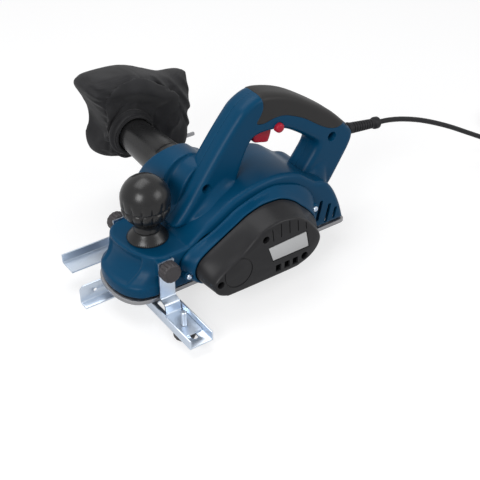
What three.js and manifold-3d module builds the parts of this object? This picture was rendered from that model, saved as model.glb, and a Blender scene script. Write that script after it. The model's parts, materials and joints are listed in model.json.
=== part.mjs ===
// Electric hand planer, millimetres, +Z up.
// X runs from the depth knob (-X) to the cord (+X). The belt cover is on the -Y side,
// the chip outlet and the dust bag on the +Y side. The sole lies in the plane z = 0.
import * as THREE from 'three';
import { mergeVertices } from 'three/addons/utils/BufferGeometryUtils.js';
import Module from 'manifold-3d';

const wasm = await Module();
wasm.setup();

const group = new THREE.Group();
group.name = 'electric_hand_planer';

// ---------------------------------------------------------------- driving dimensions
const GAP = 0.3;
const SOLE_HALF = 42;
const SOLE_FRONT = -140;
const SOLE_REAR = 146;
const SOLE_THICK = 5;
const CUT_DEPTH = 2;
const BODY_NEAR = -41.5;
const BODY_FAR = 45;
const DECK_Z = 50.5;
const WALL = 3;

const DRUM_X = -36;
const DRUM_Z = 28.5;
const DRUM_R = 27;
const DRUM_HALF = 40.5;
const BLADE_R = 28.4;
const CHAMBER_R = 31.5;
const SHAFT_R = 5;

const MOTOR_X = 40;
const MOTOR_Z = 44;
const STATOR_R = 31.5;
const BARREL_R = 38.5;
const BARREL_FAR = 52;

const RIM_NEAR = -58;
const PLATE_NEAR = -45;
const COVER_IN = RIM_NEAR - GAP;
const COVER_FACE = -86;
const DRUM_PULLEY_R = 14.5;
const MOTOR_PULLEY_R = 9;
const PULLEY_Y = [-69, -59.6];
const BELT_THICK = 2;

const CHUTE_X = -30;
const CHUTE_Z = 92;
const CHUTE_R = 29;
const CHUTE_BORE_R = 25;
const CHUTE_Y = 64;
const CHUTE_SLOPE = 0.76;
const CHUTE_ROOT = 17.6;
const TUBE_END_Y = 139.7;
const TUBE_R = 19.8;
const NECK_WALL = 3.9;

const KNOB_X = -91.5;
const BALL_Z = 99;
const BALL_R = 26.5;
const DIAL_R = 22.4;

const HANDLE_HALF = 17;
const GRIP_THICK = 3.5;

const CLAMP_X = -98;
const CLAMP_Z = 41;
const SIDE_KNOB_R = 11;
const SHEET = 1.8;
const STRAP_HALF = 9;
const STRAP_Y = 47.2;
const STRAP_TOP = 50;

const CHANNEL_X = -100;
const CHANNEL_HALF = 14;
const CHANNEL_TOP = -2;
const CHANNEL_LOW = -13;
const CHANNEL_OUT = -115;
const FENCE_Y = 25;
const FENCE_FRONT = -164;
const FENCE_REAR = -42;
const FLOOR_Z = -24;
const STUD_Y = -82;
const STOP_TRAVEL = 20;

const RELIEF_AT = [173, 0, 93.5];
const RELIEF_PITCH = 8;
const RELIEF_LONG = 52;
const CORD_R = 3.1;
const COIL_AT = [520, 20];
const COIL_IN = 23;
const COIL_OUT = 49;
const COIL_TOP = -11.3;

// ---------------------------------------------------------------- outlines (x, z) and (x, y)
const BODY_PROFILE = [
  [-136, SOLE_THICK + CUT_DEPTH + 0.4], [-133, 16], [-126, 33], [-122, 44], [-117, 49.5], [-112, DECK_Z],
  [-66, DECK_Z], [-58, 57], [-44, 67], [-28, 76], [-10, 86], [12, 93], [36, 96], [58, 94],
  [78, 87], [92, 76], [102, 68], [112, 65.5], [121, 60], [130, 46], [138, 28], [143, 12],
  [144.5, SOLE_THICK + GAP], [-53, SOLE_THICK + GAP], [-53, SOLE_THICK + CUT_DEPTH + 0.4],
];
const BODY_PLAN = [
  [146, -38], [142, BODY_NEAR], [-112, BODY_NEAR], [-124, -37], [-131, -27], [-136, -12],
  [-137, 2], [-136, 15], [-131, 29], [-124, 39], [-112, BODY_FAR], [142, BODY_FAR], [146, 41],
];
const RIM_BASE = [
  [-56, 7.6], [-68, 10], [-76, 20], [-78, 36], [-68, 48], [-41, 59.5], [-25, 68], [-9, 77], [10, 83.5],
  [27, 87.5], [42, 88], [57, 84], [74, 77], [88, 65], [95, 51], [96, 30], [88, 14], [74, 7.6],
];
const SEAM = [
  [-52, 9], [-62, 13], [-68, 22], [-68, 34], [-60, 45], [-36, 59], [-14, 71], [-4, 76], [12, 80.5],
  [26, 81], [40, 79], [55, 71], [66, 61], [77, 50], [86, 37], [86, 24], [78, 12], [64, 9],
];
const FACE = [
  [-48, 6.5], [-57, 12], [-62, 21], [-60, 29], [-46, 40], [-27, 51], [-11, 64], [1, 71], [17, 74],
  [30, 73], [43, 68.5], [57, 58], [66, 47], [72, 36], [73, 27], [70, 20], [62, 11.5], [50, 6.5],
];
const COVER_SCREWS = [[0, 59], [-59, 23]];
const RIM_SCREWS = [[-74, 23], [91.5, 44]];
const LABEL = [[4, 46], [53, 48], [57, 28], [10, 28]];

const ARCH = [
  [-66, 56], [-47, 85], [-13, 132], [12, 163], [24, 174], [42, 181], [61, 178.5], [85, 169.5],
  [112, 153], [141, 132], [160, 114], [171, 102], [173, 94], [169, 82], [157, 62], [147, 46],
  [140, 36], [100, 52], [99, 64], [106, 75], [118, 92], [119, 101], [108, 110.5], [92, 122],
  [76, 131], [56, 135.5], [38, 135], [30, 129], [22, 113], [12, 86], [9, 72],
];
const GRIP = [
  [39, 195], [44, 172], [42, 162], [36, 152], [46, 149], [60, 151.5], [72, 150.5], [82, 147],
  [100, 138], [119, 124.5], [134, 115.5], [147, 112], [158, 114], [166, 107], [185, 120],
  [160, 155], [120, 180], [85, 195],
];
const HANDLE_SCREWS = [[-27, 95], [140, 103]];
const BAG = [
  [-76, 148], [-60, 158], [-5, 153], [60, 140], [73, 128], [75, 90], [67, 46], [61, 32], [18, 36],
  [-28, 43], [-50, 54], [-56, 82], [-64, 112],
];

// ---------------------------------------------------------------- small tools
function closed(geometry) {
  const plain = new THREE.BufferGeometry();
  const source = geometry.index ? geometry.toNonIndexed() : geometry;
  plain.setAttribute('position', source.getAttribute('position').clone());
  const welded = mergeVertices(plain, 1e-4);
  const at = welded.getAttribute('position');
  const index = welded.index.array;
  const kept = [];
  let volume = 0;
  const a = new THREE.Vector3();
  const b = new THREE.Vector3();
  const c = new THREE.Vector3();
  for (let i = 0; i < index.length; i += 3) {
    const corner = [index[i], index[i + 1], index[i + 2]];
    if (corner[0] === corner[1] || corner[1] === corner[2] || corner[2] === corner[0]) continue;
    kept.push(...corner);
    a.fromBufferAttribute(at, corner[0]);
    b.fromBufferAttribute(at, corner[1]);
    c.fromBufferAttribute(at, corner[2]);
    volume += a.dot(b.cross(c));
  }
  if (volume < 0) {
    for (let i = 0; i < kept.length; i += 3) [kept[i], kept[i + 1]] = [kept[i + 1], kept[i]];
  }
  return new wasm.Manifold(new wasm.Mesh({
    numProp: 3,
    vertProperties: new Float32Array(at.array),
    triVerts: new Uint32Array(kept),
  }));
}

function join(...solids) {
  return solids.reduce((whole, next) => whole.add(next));
}

function cut(solid, ...tools) {
  return tools.reduce((rest, tool) => rest.subtract(tool), solid);
}

function box(x0, x1, y0, y1, z0, z1) {
  const shape = new THREE.BoxGeometry(x1 - x0, y1 - y0, z1 - z0);
  shape.translate((x0 + x1) / 2, (y0 + y1) / 2, (z0 + z1) / 2);
  return closed(shape);
}

function lathe(axis, centre, profile, sides = 20) {
  const shape = new THREE.LatheGeometry(profile.map(([r, s]) => new THREE.Vector2(r, s)), sides);
  if (axis === 'z') shape.rotateX(Math.PI / 2);
  if (axis === 'x') shape.rotateZ(-Math.PI / 2);
  shape.translate(...centre);
  return closed(shape);
}

function rod(axis, centre, radius, from, to, sides = 18) {
  return lathe(axis, centre, [[0, from], [radius, from], [radius, to], [0, to]], sides);
}

function ring(axis, centre, inner, outer, from, to, sides = 20) {
  return lathe(axis, centre, [[inner, from], [outer, from], [outer, to], [inner, to], [inner, from]], sides);
}

function flat(points) {
  return new THREE.Shape(points.map(([u, v]) => new THREE.Vector2(u, v)));
}

function extrude(points, depth, bevel = 0) {
  return new THREE.ExtrudeGeometry(flat(points), {
    depth: depth - 2 * bevel,
    bevelEnabled: bevel > 0,
    bevelThickness: bevel,
    bevelSize: bevel,
    bevelOffset: -bevel,
    bevelSegments: 2,
  }).translate(0, 0, bevel);
}

// side outline (x, z) drawn out along Y
function sidePrism(points, y0, y1, bevel = 0) {
  return closed(extrude(points, y1 - y0, bevel).rotateX(Math.PI / 2).translate(0, y1, 0));
}

// plan outline (x, y) drawn up along Z
function planPrism(points, z0, z1) {
  return closed(extrude(points, z1 - z0).translate(0, 0, z0));
}

// cross-section (y, z) drawn out along X
function crossPrism(points, x0, x1) {
  const turn = new THREE.Matrix4().makeBasis(
    new THREE.Vector3(0, 1, 0),
    new THREE.Vector3(0, 0, 1),
    new THREE.Vector3(1, 0, 0),
  );
  return closed(extrude(points, x1 - x0).applyMatrix4(turn).translate(x0, 0, 0));
}

// the same outline moved outward (or inward, when the distance is negative)
function offset(points, distance) {
  const area = points.reduce((sum, [x, y], i) => {
    const [u, v] = points[(i + 1) % points.length];
    return sum + x * v - u * y;
  }, 0);
  const turn = area > 0 ? 1 : -1;
  const normals = points.map(([x, y], i) => {
    const [u, v] = points[(i + 1) % points.length];
    const length = Math.hypot(u - x, v - y);
    return [(turn * (v - y)) / length, (-turn * (u - x)) / length];
  });
  return points.map(([x, y], i) => {
    const before = normals[(i + points.length - 1) % points.length];
    const after = normals[i];
    const spread = 1 + before[0] * after[0] + before[1] * after[1];
    const push = distance / Math.max(spread, 0.4);
    return [x + push * (before[0] + after[0]), y + push * (before[1] + after[1])];
  });
}

function blend(first, second, share) {
  return first.map(([x, y], i) => [x + share * (second[i][0] - x), y + share * (second[i][1] - y)]);
}

function scaled(points, share) {
  const cx = points.reduce((sum, p) => sum + p[0], 0) / points.length;
  const cy = points.reduce((sum, p) => sum + p[1], 0) / points.length;
  return points.map(([x, y]) => [cx + share * (x - cx), cy + share * (y - cy)]);
}

// side outlines (x, z) with the same corner count, skinned from one y to the next
function loft(rings) {
  const count = rings[0][1].length;
  const positions = [];
  const corner = (k, i) => [rings[k][1][i % count][0], rings[k][0], rings[k][1][i % count][1]];
  for (let k = 0; k + 1 < rings.length; k += 1) {
    for (let i = 0; i < count; i += 1) {
      positions.push(...corner(k, i), ...corner(k, i + 1), ...corner(k + 1, i + 1));
      positions.push(...corner(k, i), ...corner(k + 1, i + 1), ...corner(k + 1, i));
    }
  }
  for (const [k, forward] of [[0, false], [rings.length - 1, true]]) {
    const contour = rings[k][1].map(([x, z]) => new THREE.Vector2(x, z));
    const around = THREE.ShapeUtils.area(contour) > 0;
    for (const face of THREE.ShapeUtils.triangulateShape(contour, [])) {
      const turned = THREE.ShapeUtils.area(face.map((i) => contour[i])) > 0;
      const order = (turned === around) === forward ? face : [face[1], face[0], face[2]];
      for (const i of order) positions.push(...corner(k, i));
    }
  }
  const shape = new THREE.BufferGeometry();
  shape.setAttribute('position', new THREE.Float32BufferAttribute(positions, 3));
  return closed(shape);
}

// bent sheet: a line in the (y, z) plane given a thickness
function bentSheet(path, thick, x0, x1) {
  const sides = [1, -1].map((sign) => path.map(([y, z], i) => {
    const legs = [path[i - 1] && [path[i - 1], path[i]], path[i + 1] && [path[i], path[i + 1]]];
    const normals = legs.filter(Boolean).map(([p, q]) => {
      const length = Math.hypot(q[0] - p[0], q[1] - p[1]);
      return [-(q[1] - p[1]) / length, (q[0] - p[0]) / length];
    });
    const n = normals.length === 1 ? normals[0] : [normals[0][0] + normals[1][0], normals[0][1] + normals[1][1]];
    const share = normals.length === 1 ? 1 : 1 + normals[0][0] * normals[1][0] + normals[0][1] * normals[1][1];
    return [y + (sign * thick * n[0]) / (2 * share), z + (sign * thick * n[1]) / (2 * share)];
  }));
  return crossPrism([...sides[0], ...sides[1].reverse()], x0, x1);
}

function sweep(points, radius, sides, steps) {
  const path = new THREE.CatmullRomCurve3(points.map((p) => new THREE.Vector3(...p)));
  const section = [];
  for (let i = 0; i < sides; i += 1) {
    const turn = (2 * Math.PI * i) / sides;
    section.push([radius * Math.cos(turn), radius * Math.sin(turn)]);
  }
  return closed(new THREE.ExtrudeGeometry(flat(section), { steps, extrudePath: path }));
}

// outline of a belt around two pulleys
function beltOutline(r1, r2, sides = 10) {
  const dx = MOTOR_X - DRUM_X;
  const dz = MOTOR_Z - DRUM_Z;
  const lean = Math.atan2(dz, dx);
  const tangent = Math.acos((r1 - r2) / Math.hypot(dx, dz));
  const points = [];
  for (let i = 0; i <= sides; i += 1) {
    const t = lean + tangent + ((2 * Math.PI - 2 * tangent) * i) / sides;
    points.push([DRUM_X + r1 * Math.cos(t), DRUM_Z + r1 * Math.sin(t)]);
  }
  for (let i = 0; i <= sides; i += 1) {
    const t = lean - tangent + (2 * tangent * i) / sides;
    points.push([MOTOR_X + r2 * Math.cos(t), MOTOR_Z + r2 * Math.sin(t)]);
  }
  return points;
}

function add(name, solid, color, roughness, metalness) {
  const mesh = solid.getMesh();
  const shape = new THREE.BufferGeometry();
  shape.setAttribute('position', new THREE.BufferAttribute(new Float32Array(mesh.vertProperties), 3));
  shape.setIndex(new THREE.BufferAttribute(new Uint32Array(mesh.triVerts), 1));
  const faceted = shape.toNonIndexed();
  faceted.computeVertexNormals();
  const material = new THREE.MeshStandardMaterial({ color, roughness, metalness });
  material.name = name;
  const node = new THREE.Mesh(faceted, material);
  node.name = name;
  group.add(node);
}

const BLUE = (name, solid) => add(name, solid, 0x1b4a6e, 0.42, 0);
const BLACK = (name, solid) => add(name, solid, 0x232426, 0.5, 0);
const RUBBER = (name, solid) => add(name, solid, 0x2b2928, 0.8, 0);
const RED = (name, solid) => add(name, solid, 0xc1273a, 0.4, 0);
const ZINC = (name, solid) => add(name, solid, 0xc3ccd6, 0.3, 1);
const STEEL = (name, solid) => add(name, solid, 0x9a9da1, 0.35, 1);
const ALLOY = (name, solid) => add(name, solid, 0xc9c7c2, 0.45, 1);
const BRASS = (name, solid) => add(name, solid, 0xb08d4a, 0.4, 1);
const COPPER = (name, solid) => add(name, solid, 0xa8683e, 0.4, 1);
const CARBON = (name, solid) => add(name, solid, 0x2a2a2a, 0.7, 0);

// ---------------------------------------------------------------- housing
function chute(radius, from) {
  const shape = new THREE.CylinderGeometry(radius, radius, CHUTE_Y - from, 24);
  shape.translate(CHUTE_X, (CHUTE_Y + from) / 2, CHUTE_Z);
  const at = shape.getAttribute('position');
  for (let i = 0; i < at.count; i += 1) {
    if (at.getY(i) > CHUTE_Y - 0.01) at.setY(i, CHUTE_Y - CHUTE_SLOPE * (at.getZ(i) - CHUTE_Z));
  }
  return closed(shape);
}

function bodyOuter(grow) {
  const side = sidePrism(offset(BODY_PROFILE, grow), BODY_NEAR - grow, BODY_FAR + grow);
  const plan = planPrism(offset(BODY_PLAN, grow), -5, 130);
  const barrel = rod('y', [MOTOR_X, 0, MOTOR_Z], BARREL_R + grow, 0, BARREL_FAR, 36);
  const root = sidePrism(
    offset([[CHUTE_X - CHUTE_R, 55], [CHUTE_X - CHUTE_R, CHUTE_Z], [CHUTE_X + CHUTE_R, CHUTE_Z], [10, 84]], grow),
    CHUTE_ROOT - grow,
    BODY_FAR,
  );
  return join(side.intersect(plan), barrel, chute(CHUTE_R + grow, CHUTE_ROOT - grow), root);
}

function mainHousing() {
  const drumAt = [DRUM_X, 0, DRUM_Z];
  const motorAt = [MOTOR_X, 0, MOTOR_Z];
  const pads = [
    box(CLAMP_X - 8, CLAMP_X + 8, -STRAP_Y + SHEET / 2 + GAP, BODY_NEAR + 1, 30, DECK_Z - 1),
    box(CLAMP_X - 8, CLAMP_X + 8, BODY_FAR - 1, STRAP_Y - SHEET / 2 - GAP, 30, DECK_Z - 1),
  ];
  const drumBoss = rod('y', drumAt, 15, BODY_FAR - 1, 50, 24);
  const nose = sidePrism(
    [[-131, 4], [-129, 16], [-122, 32], [-118, 43], [-112, DECK_Z - WALL], [-72, DECK_Z - WALL], [-72, 4]],
    BODY_NEAR + WALL,
    BODY_FAR - WALL - 4,
  ).intersect(planPrism(offset(BODY_PLAN, -WALL), 0, 60));
  const hood = sidePrism(
    [[82, 4], [82, 60], [100, 61], [114, 59], [125, 45], [133, 27], [138, 12], [139, 4]],
    BODY_NEAR + WALL,
    BODY_FAR - WALL,
  );
  const duct = sidePrism([[-52, 46], [-50, 60], [-34, 69], [-12, 80], [-12, 46]], -30, 40);
  const vents = [[107, 28.5, 27, 4.6], [119.5, 21.5, 25, 4.6], [129.8, 18.5, 15, 4.2]].map(([x, z, long, wide]) => {
    const slot = new THREE.BoxGeometry(wide, 10, long).rotateY((13 * Math.PI) / 180);
    return closed(slot.translate(x, BODY_NEAR, z));
  });
  const bearingSeat = ring('y', motorAt, 11 + GAP, 14.5, 41.2, 49, 24);
  return join(
    cut(
      join(bodyOuter(0), ...pads, drumBoss),
      rod('y', drumAt, CHAMBER_R, BODY_NEAR - 2, 41.3, 32),
      box(-53, -14, BODY_NEAR - 2, 41.3, -1, 22),
      rod('y', drumAt, 11 + GAP, 40, 49.4, 24),
      duct,
      rod('y', [CHUTE_X, 0, CHUTE_Z], CHUTE_BORE_R, CHUTE_ROOT + WALL, 110, 24),
      rod('y', motorAt, STATOR_R + GAP, BODY_NEAR - 2, 48.5, 36),
      nose,
      hood,
      rod('z', [KNOB_X, 0, 0], 6.5, 40, 60, 16),
      rod('y', [CLAMP_X, 0, CLAMP_Z], 3.4, -50, -34, 16),
      rod('y', [CLAMP_X, 0, CLAMP_Z], 3.4, 34, 50, 16),
      ...RIM_SCREWS.map(([x, z]) => rod('y', [x, 0, z], 1.9, BODY_NEAR - 1, BODY_NEAR + 9, 12)),
      ...vents,
    ),
    bearingSeat,
  );
}

function driveEndHousing() {
  const mouth = offset(SEAM, 2);
  const shell = loft([[BODY_NEAR - GAP, RIM_BASE], [-46, offset(RIM_BASE, -0.6)], [-56, offset(SEAM, 3)], [RIM_NEAR, mouth]]);
  const hollow = loft([[PLATE_NEAR, offset(SEAM, -1)], [RIM_NEAR - 1, offset(SEAM, -1)]]);
  const axles = [[DRUM_X, DRUM_Z], [MOTOR_X, MOTOR_Z]];
  const ears = RIM_SCREWS.map(([x, z]) => rod('y', [x, 0, z], 5, -52, BODY_NEAR - GAP, 16));
  const bosses = axles.map(([x, z]) => rod('y', [x, 0, z], 16, -55, PLATE_NEAR + 1, 28));
  const posts = COVER_SCREWS.map(([x, z]) => rod('y', [x, 0, z], 4.1, RIM_NEAR, PLATE_NEAR + 1, 16));
  return cut(
    join(cut(shell, hollow), ...ears, ...bosses, ...posts),
    ...axles.map(([x, z]) => rod('y', [x, 0, z], 13 + GAP, -56, PLATE_NEAR - 0.7, 28)),
    ...axles.map(([x, z]) => rod('y', [x, 0, z], 7, -60, -40, 20)),
    ...COVER_SCREWS.map(([x, z]) => rod('y', [x, 0, z], 2, RIM_NEAR - 1, PLATE_NEAR + 1, 12)),
    ...RIM_SCREWS.map(([x, z]) => rod('y', [x, 0, z], 2, -60, -40, 12)),
    ...RIM_SCREWS.map(([x, z]) => rod('y', [x, 0, z], 3.6, -62, -52, 14)),
  );
}

function beltCover() {
  const wall = 2.6;
  const near = offset(FACE, 1.2);
  const shell = loft([
    [COVER_IN, SEAM], [-64, blend(SEAM, near, 0.12)], [-82, near], [-85, offset(FACE, -0.2)], [COVER_FACE, offset(FACE, -1.6)],
  ]);
  const hollow = loft([
    [COVER_IN + 1, offset(SEAM, -wall)],
    [-78, offset(blend(SEAM, near, 0.85), -wall)],
    [COVER_FACE + wall, offset(FACE, -3)],
  ]);
  const posts = COVER_SCREWS.map(([x, z]) => rod('y', [x, 0, z], 4.1, COVER_FACE + 1.5, COVER_IN - GAP, 16));
  const vents = [16, 27, 38, 49].map((x) => box(x - 3, x + 3, -90, -80, 12.4, 19.6));
  const mark = ring('y', [DRUM_X, 0, DRUM_Z], 13.4, 14.6, COVER_FACE - 0.5, COVER_FACE + 0.5, 28);
  return cut(
    join(cut(shell, hollow), ...posts, mark),
    ...COVER_SCREWS.map(([x, z]) => rod('y', [x, 0, z], 3.9, -90, COVER_FACE + 2.4, 16)),
    ...COVER_SCREWS.map(([x, z]) => rod('y', [x, 0, z], 2, -90, -50, 12)),
    sidePrism(offset(LABEL, GAP), -90, COVER_FACE + 1),
    ...vents,
  );
}

function screw(x, z, headR, head, shankR, tip) {
  return lathe('y', [x, 0, z], [
    [0, head[0]], [headR * 0.8, head[0]], [headR, head[0] + 0.6], [headR, head[1]], [shankR, head[1]], [shankR, tip], [0, tip],
  ], 14);
}

BLUE('main_housing', mainHousing());
BLUE('drive_end_housing', driveEndHousing());
BLACK('belt_cover', beltCover());
COVER_SCREWS.forEach(([x, z], i) => {
  STEEL(`cover_screw_${i + 1}`, screw(x, z, 3.5, [COVER_FACE + 0.2, COVER_FACE + 2.1], 1.7, -48));
});
RIM_SCREWS.forEach(([x, z], i) => {
  ZINC(`rim_screw_${i + 1}`, screw(x, z, 3.2, [-54.3, -52.3], 1.6, BODY_NEAR + 7));
});
add('label_plate', sidePrism(LABEL, COVER_FACE + 0.1, COVER_FACE + 0.7), 0xc9cbcc, 0.4, 0);

// ---------------------------------------------------------------- soles
function rearSole() {
  const edge = [
    [-14, -SOLE_HALF], [SOLE_REAR - 5, -SOLE_HALF], [SOLE_REAR, -SOLE_HALF + 5],
    [SOLE_REAR, SOLE_HALF - 5], [SOLE_REAR - 5, SOLE_HALF], [-14, SOLE_HALF],
  ];
  const frame = cut(box(86, 134, -35, 38, 4, 15), box(89, 131, -32, 35, 3, 16));
  return join(planPrism(edge, 0, SOLE_THICK), frame.subtract(box(80, 140, -40, 40, 0, 4)));
}

function frontShoe() {
  const edge = [
    [-54, -SOLE_HALF], [-54, SOLE_HALF], [-112, SOLE_HALF], [-125, 38], [-134, 27], [-139, 13],
    [SOLE_FRONT, 0], [-139, -13], [-134, -27], [-125, -38], [-112, -SOLE_HALF],
  ];
  const boss = rod('z', [KNOB_X, 0, 0], 10, SOLE_THICK - 1, 30, 20);
  return cut(join(planPrism(edge, 0, SOLE_THICK), boss), rod('z', [KNOB_X, 0, 0], 4.3, 8, 32, 16));
}

ALLOY('rear_sole', rearSole());
ALLOY('front_shoe', frontShoe());

// ---------------------------------------------------------------- depth setting
function depthKnob() {
  const shape = lathe('z', [KNOB_X, 0, 0], [
    [0, BALL_Z + BALL_R], [10, 123.6], [18, 118.5], [23.5, 111.2], [26.2, 103], [BALL_R, 98], [25.6, 91],
    [22.6, 83], [18, 76], [14.6, 71], [13.6, 67], [14.4, 64], [14.4, 62.3], [0, 62.3],
  ], 28);
  return shape.subtract(rod('z', [KNOB_X, 0, 0], 4.3, 60, 72, 14));
}

BLACK('depth_knob', depthKnob());
BLACK('depth_dial', lathe('z', [KNOB_X, 0, 0], [
  [4.3, DECK_Z + 0.4], [DIAL_R - 0.4, DECK_Z + 0.4], [DIAL_R, DECK_Z + 2], [20.5, 55.6], [17, 58.6], [14.6, 62],
  [4.3, 62], [4.3, DECK_Z + 0.4],
], 28));
STEEL('depth_spindle', rod('z', [KNOB_X, 0, 0], 4, 12.5, 71.5, 14));

function spindleSpring() {
  const turns = 4;
  const points = [];
  for (let i = 0; i <= turns * 10; i += 1) {
    const t = (2 * Math.PI * i) / 10;
    points.push([KNOB_X + 6.9 * Math.cos(t), 6.9 * Math.sin(t), 31.3 + (14.6 * i) / (turns * 10)]);
  }
  return sweep(points, 0.9, 6, turns * 10);
}

STEEL('spindle_spring', spindleSpring());

// ---------------------------------------------------------------- cutter drum and drive
const DRUM_TURN = (40 * Math.PI) / 180;

function onDrum(y0, y1, x0, x1, z0, z1, half) {
  const shape = new THREE.BoxGeometry(x1 - x0, y1 - y0, z1 - z0);
  shape.translate((x0 + x1) / 2, (y0 + y1) / 2, (z0 + z1) / 2);
  shape.rotateY(DRUM_TURN + half * Math.PI).translate(DRUM_X, 0, DRUM_Z);
  return closed(shape);
}

function cutterDrum() {
  const shape = lathe('y', [DRUM_X, 0, DRUM_Z], [
    [0, -75], [SHAFT_R, -75], [SHAFT_R, -DRUM_HALF], [DRUM_R, -DRUM_HALF], [DRUM_R, DRUM_HALF],
    [SHAFT_R, DRUM_HALF], [SHAFT_R, 48.8], [0, 48.8],
  ], 28);
  return cut(shape, ...[0, 1].map((half) => onDrum(-42, 42, -5, 2.9, 20, 30, half)));
}

ALLOY('cutter_drum', cutterDrum());
[0, 1].forEach((half) => {
  STEEL(`blade_${half + 1}`, onDrum(-DRUM_HALF, DRUM_HALF, 1.2, 2.5, 20.3, BLADE_R - 0.15, half));
  STEEL(`blade_clamp_${half + 1}`, onDrum(-DRUM_HALF, DRUM_HALF, -4.7, 0.9, 20.3, 26.2, half));
});
const drumAxis = [DRUM_X, 0, DRUM_Z];
const motorAxis = [MOTOR_X, 0, MOTOR_Z];
STEEL('drum_bearing_near', ring('y', drumAxis, SHAFT_R + GAP, 13, -54, -46));
STEEL('drum_bearing_far', ring('y', drumAxis, SHAFT_R + GAP, 11, 42, 49));
STEEL('drum_pulley', ring('y', drumAxis, SHAFT_R + GAP, DRUM_PULLEY_R, ...PULLEY_Y));
STEEL('motor_pulley', ring('y', motorAxis, SHAFT_R + GAP, MOTOR_PULLEY_R, ...PULLEY_Y));

function driveBelt() {
  const outer = beltOutline(DRUM_PULLEY_R + GAP + BELT_THICK, MOTOR_PULLEY_R + GAP + BELT_THICK);
  const inner = beltOutline(DRUM_PULLEY_R + 2 * GAP, MOTOR_PULLEY_R + 2 * GAP);
  return sidePrism(outer, PULLEY_Y[0] + 1, PULLEY_Y[1] - 1).subtract(sidePrism(inner, -80, -50));
}

RUBBER('drive_belt', driveBelt());

// ---------------------------------------------------------------- motor
COPPER('stator', lathe('y', motorAxis, [
  [20, -28], [28, -28], [28, -18], [STATOR_R, -18], [STATOR_R, 22], [28, 22], [28, 30], [20, 30], [20, -28],
], 24));
STEEL('armature', lathe('y', motorAxis, [
  [0, -74], [SHAFT_R, -74], [SHAFT_R, -26], [15, -24], [19.4, -17], [19.4, 21], [15, 28], [SHAFT_R, 29],
  [SHAFT_R, 48], [0, 48],
], 20));
COPPER('commutator', ring('y', motorAxis, SHAFT_R + GAP, 12, 30, 40.8));

function fan() {
  const blades = [];
  for (let i = 0; i < 8; i += 1) {
    const blade = new THREE.BoxGeometry(18, 7, 1.6).translate(18, -36.4, 0);
    blades.push(closed(blade.rotateY((i * Math.PI) / 4).translate(MOTOR_X, 0, MOTOR_Z)));
  }
  return join(
    ring('y', motorAxis, SHAFT_R + GAP, 29, -33.2, -31),
    ring('y', motorAxis, SHAFT_R + GAP, 10, -40, -33),
    ...blades,
  );
}

BLACK('motor_fan', fan());
STEEL('motor_bearing_near', ring('y', motorAxis, SHAFT_R + GAP, 13, -54, -46));
STEEL('motor_bearing_far', ring('y', motorAxis, SHAFT_R + GAP, 11, 41.5, 48.2));
[['front', -1], ['rear', 1]].forEach(([name, sign]) => {
  const along = (from, to) => [MOTOR_X + sign * from, MOTOR_X + sign * to].sort((a, b) => a - b);
  const sleeve = box(...along(15, STATOR_R - 0.5), 31, 41, MOTOR_Z - 4, MOTOR_Z + 4);
  const bore = box(...along(10, 40), 32.2, 39.8, MOTOR_Z - 2.8, MOTOR_Z + 2.8);
  BRASS(`brush_holder_${name}`, sleeve.subtract(bore));
  CARBON(`brush_${name}`, box(...along(12.3, 26), 32.5, 39.5, MOTOR_Z - 2.5, MOTOR_Z + 2.5));
});

// ---------------------------------------------------------------- handle
const reliefTurn = (RELIEF_PITCH * Math.PI) / 180;

function alongRelief(profile, sides = 18) {
  const shape = new THREE.LatheGeometry(profile.map(([r, s]) => new THREE.Vector2(r, s)), sides);
  shape.rotateZ(-Math.PI / 2).rotateY(reliefTurn).translate(...RELIEF_AT);
  return closed(shape);
}

function handleArch() {
  const whole = sidePrism(ARCH, -HANDLE_HALF, HANDLE_HALF, 3.5);
  const grip = whole.intersect(sidePrism(GRIP, -40, 40));
  const core = sidePrism(offset(ARCH, -GRIP_THICK), -HANDLE_HALF + GRIP_THICK, HANDLE_HALF - GRIP_THICK);
  const inner = sidePrism(
    offset(ARCH, -GRIP_THICK - GAP),
    -HANDLE_HALF + GRIP_THICK + GAP,
    HANDLE_HALF - GRIP_THICK - GAP,
  ).intersect(sidePrism(offset(GRIP, 2), -40, 40));
  const hard = join(whole.subtract(sidePrism(offset(GRIP, GAP), -40, 40)), inner);
  const pockets = [
    bodyOuter(GAP),
    box(49.7, 78.3, -10.3, 10.3, 143.7, 162.3),
    box(39.9, 66.9, -6.4, 6.4, 110, 144),
    rod('y', [65, 0, 139], 4.9, -30, -6, 16),
    box(145.7, 151.8, -9.3, 9.3, 92.7, 101.3),
    alongRelief([[0, -18.6], [9, -18.6], [9, -13.5], [6.7, -13.5], [6.7, 20], [0, 20]]),
    ...HANDLE_SCREWS.map(([x, z]) => rod('y', [x, 0, z], 4.2, -30, -10, 16)),
    ...HANDLE_SCREWS.map(([x, z]) => rod('y', [x, 0, z], 2.2, -30, 9, 12)),
  ];
  return { hard: cut(hard, ...pockets), grip: grip.subtract(core) };
}

const handle = handleArch();
BLUE('handle_near', handle.hard.intersect(box(-200, 300, -60, -0.15, -50, 300)));
BLUE('handle_far', handle.hard.intersect(box(-200, 300, 0.15, 60, -50, 300)));
RUBBER('grip_overmould', handle.grip);
HANDLE_SCREWS.forEach(([x, z], i) => STEEL(`handle_screw_${i + 1}`, screw(x, z, 3.8, [-13, -10.3], 1.9, 8)));
BLACK('switch_body', box(50, 78, -10, 10, 144, 162));
RED('trigger', sidePrism(
  [[41, 141], [40.4, 124], [43, 121.6], [58, 117.5], [60.5, 119], [64.8, 133], [64.8, 138.5]],
  -6,
  6,
));
RED('lock_button', lathe('y', [65, 0, 139], [[0, -20.6], [3.6, -20.6], [4.6, -19.6], [4.6, -12.8], [0, -12.8]], 16));
BLACK('cable_clamp', box(146, 151.5, -9, 9, 93, 101));

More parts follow.
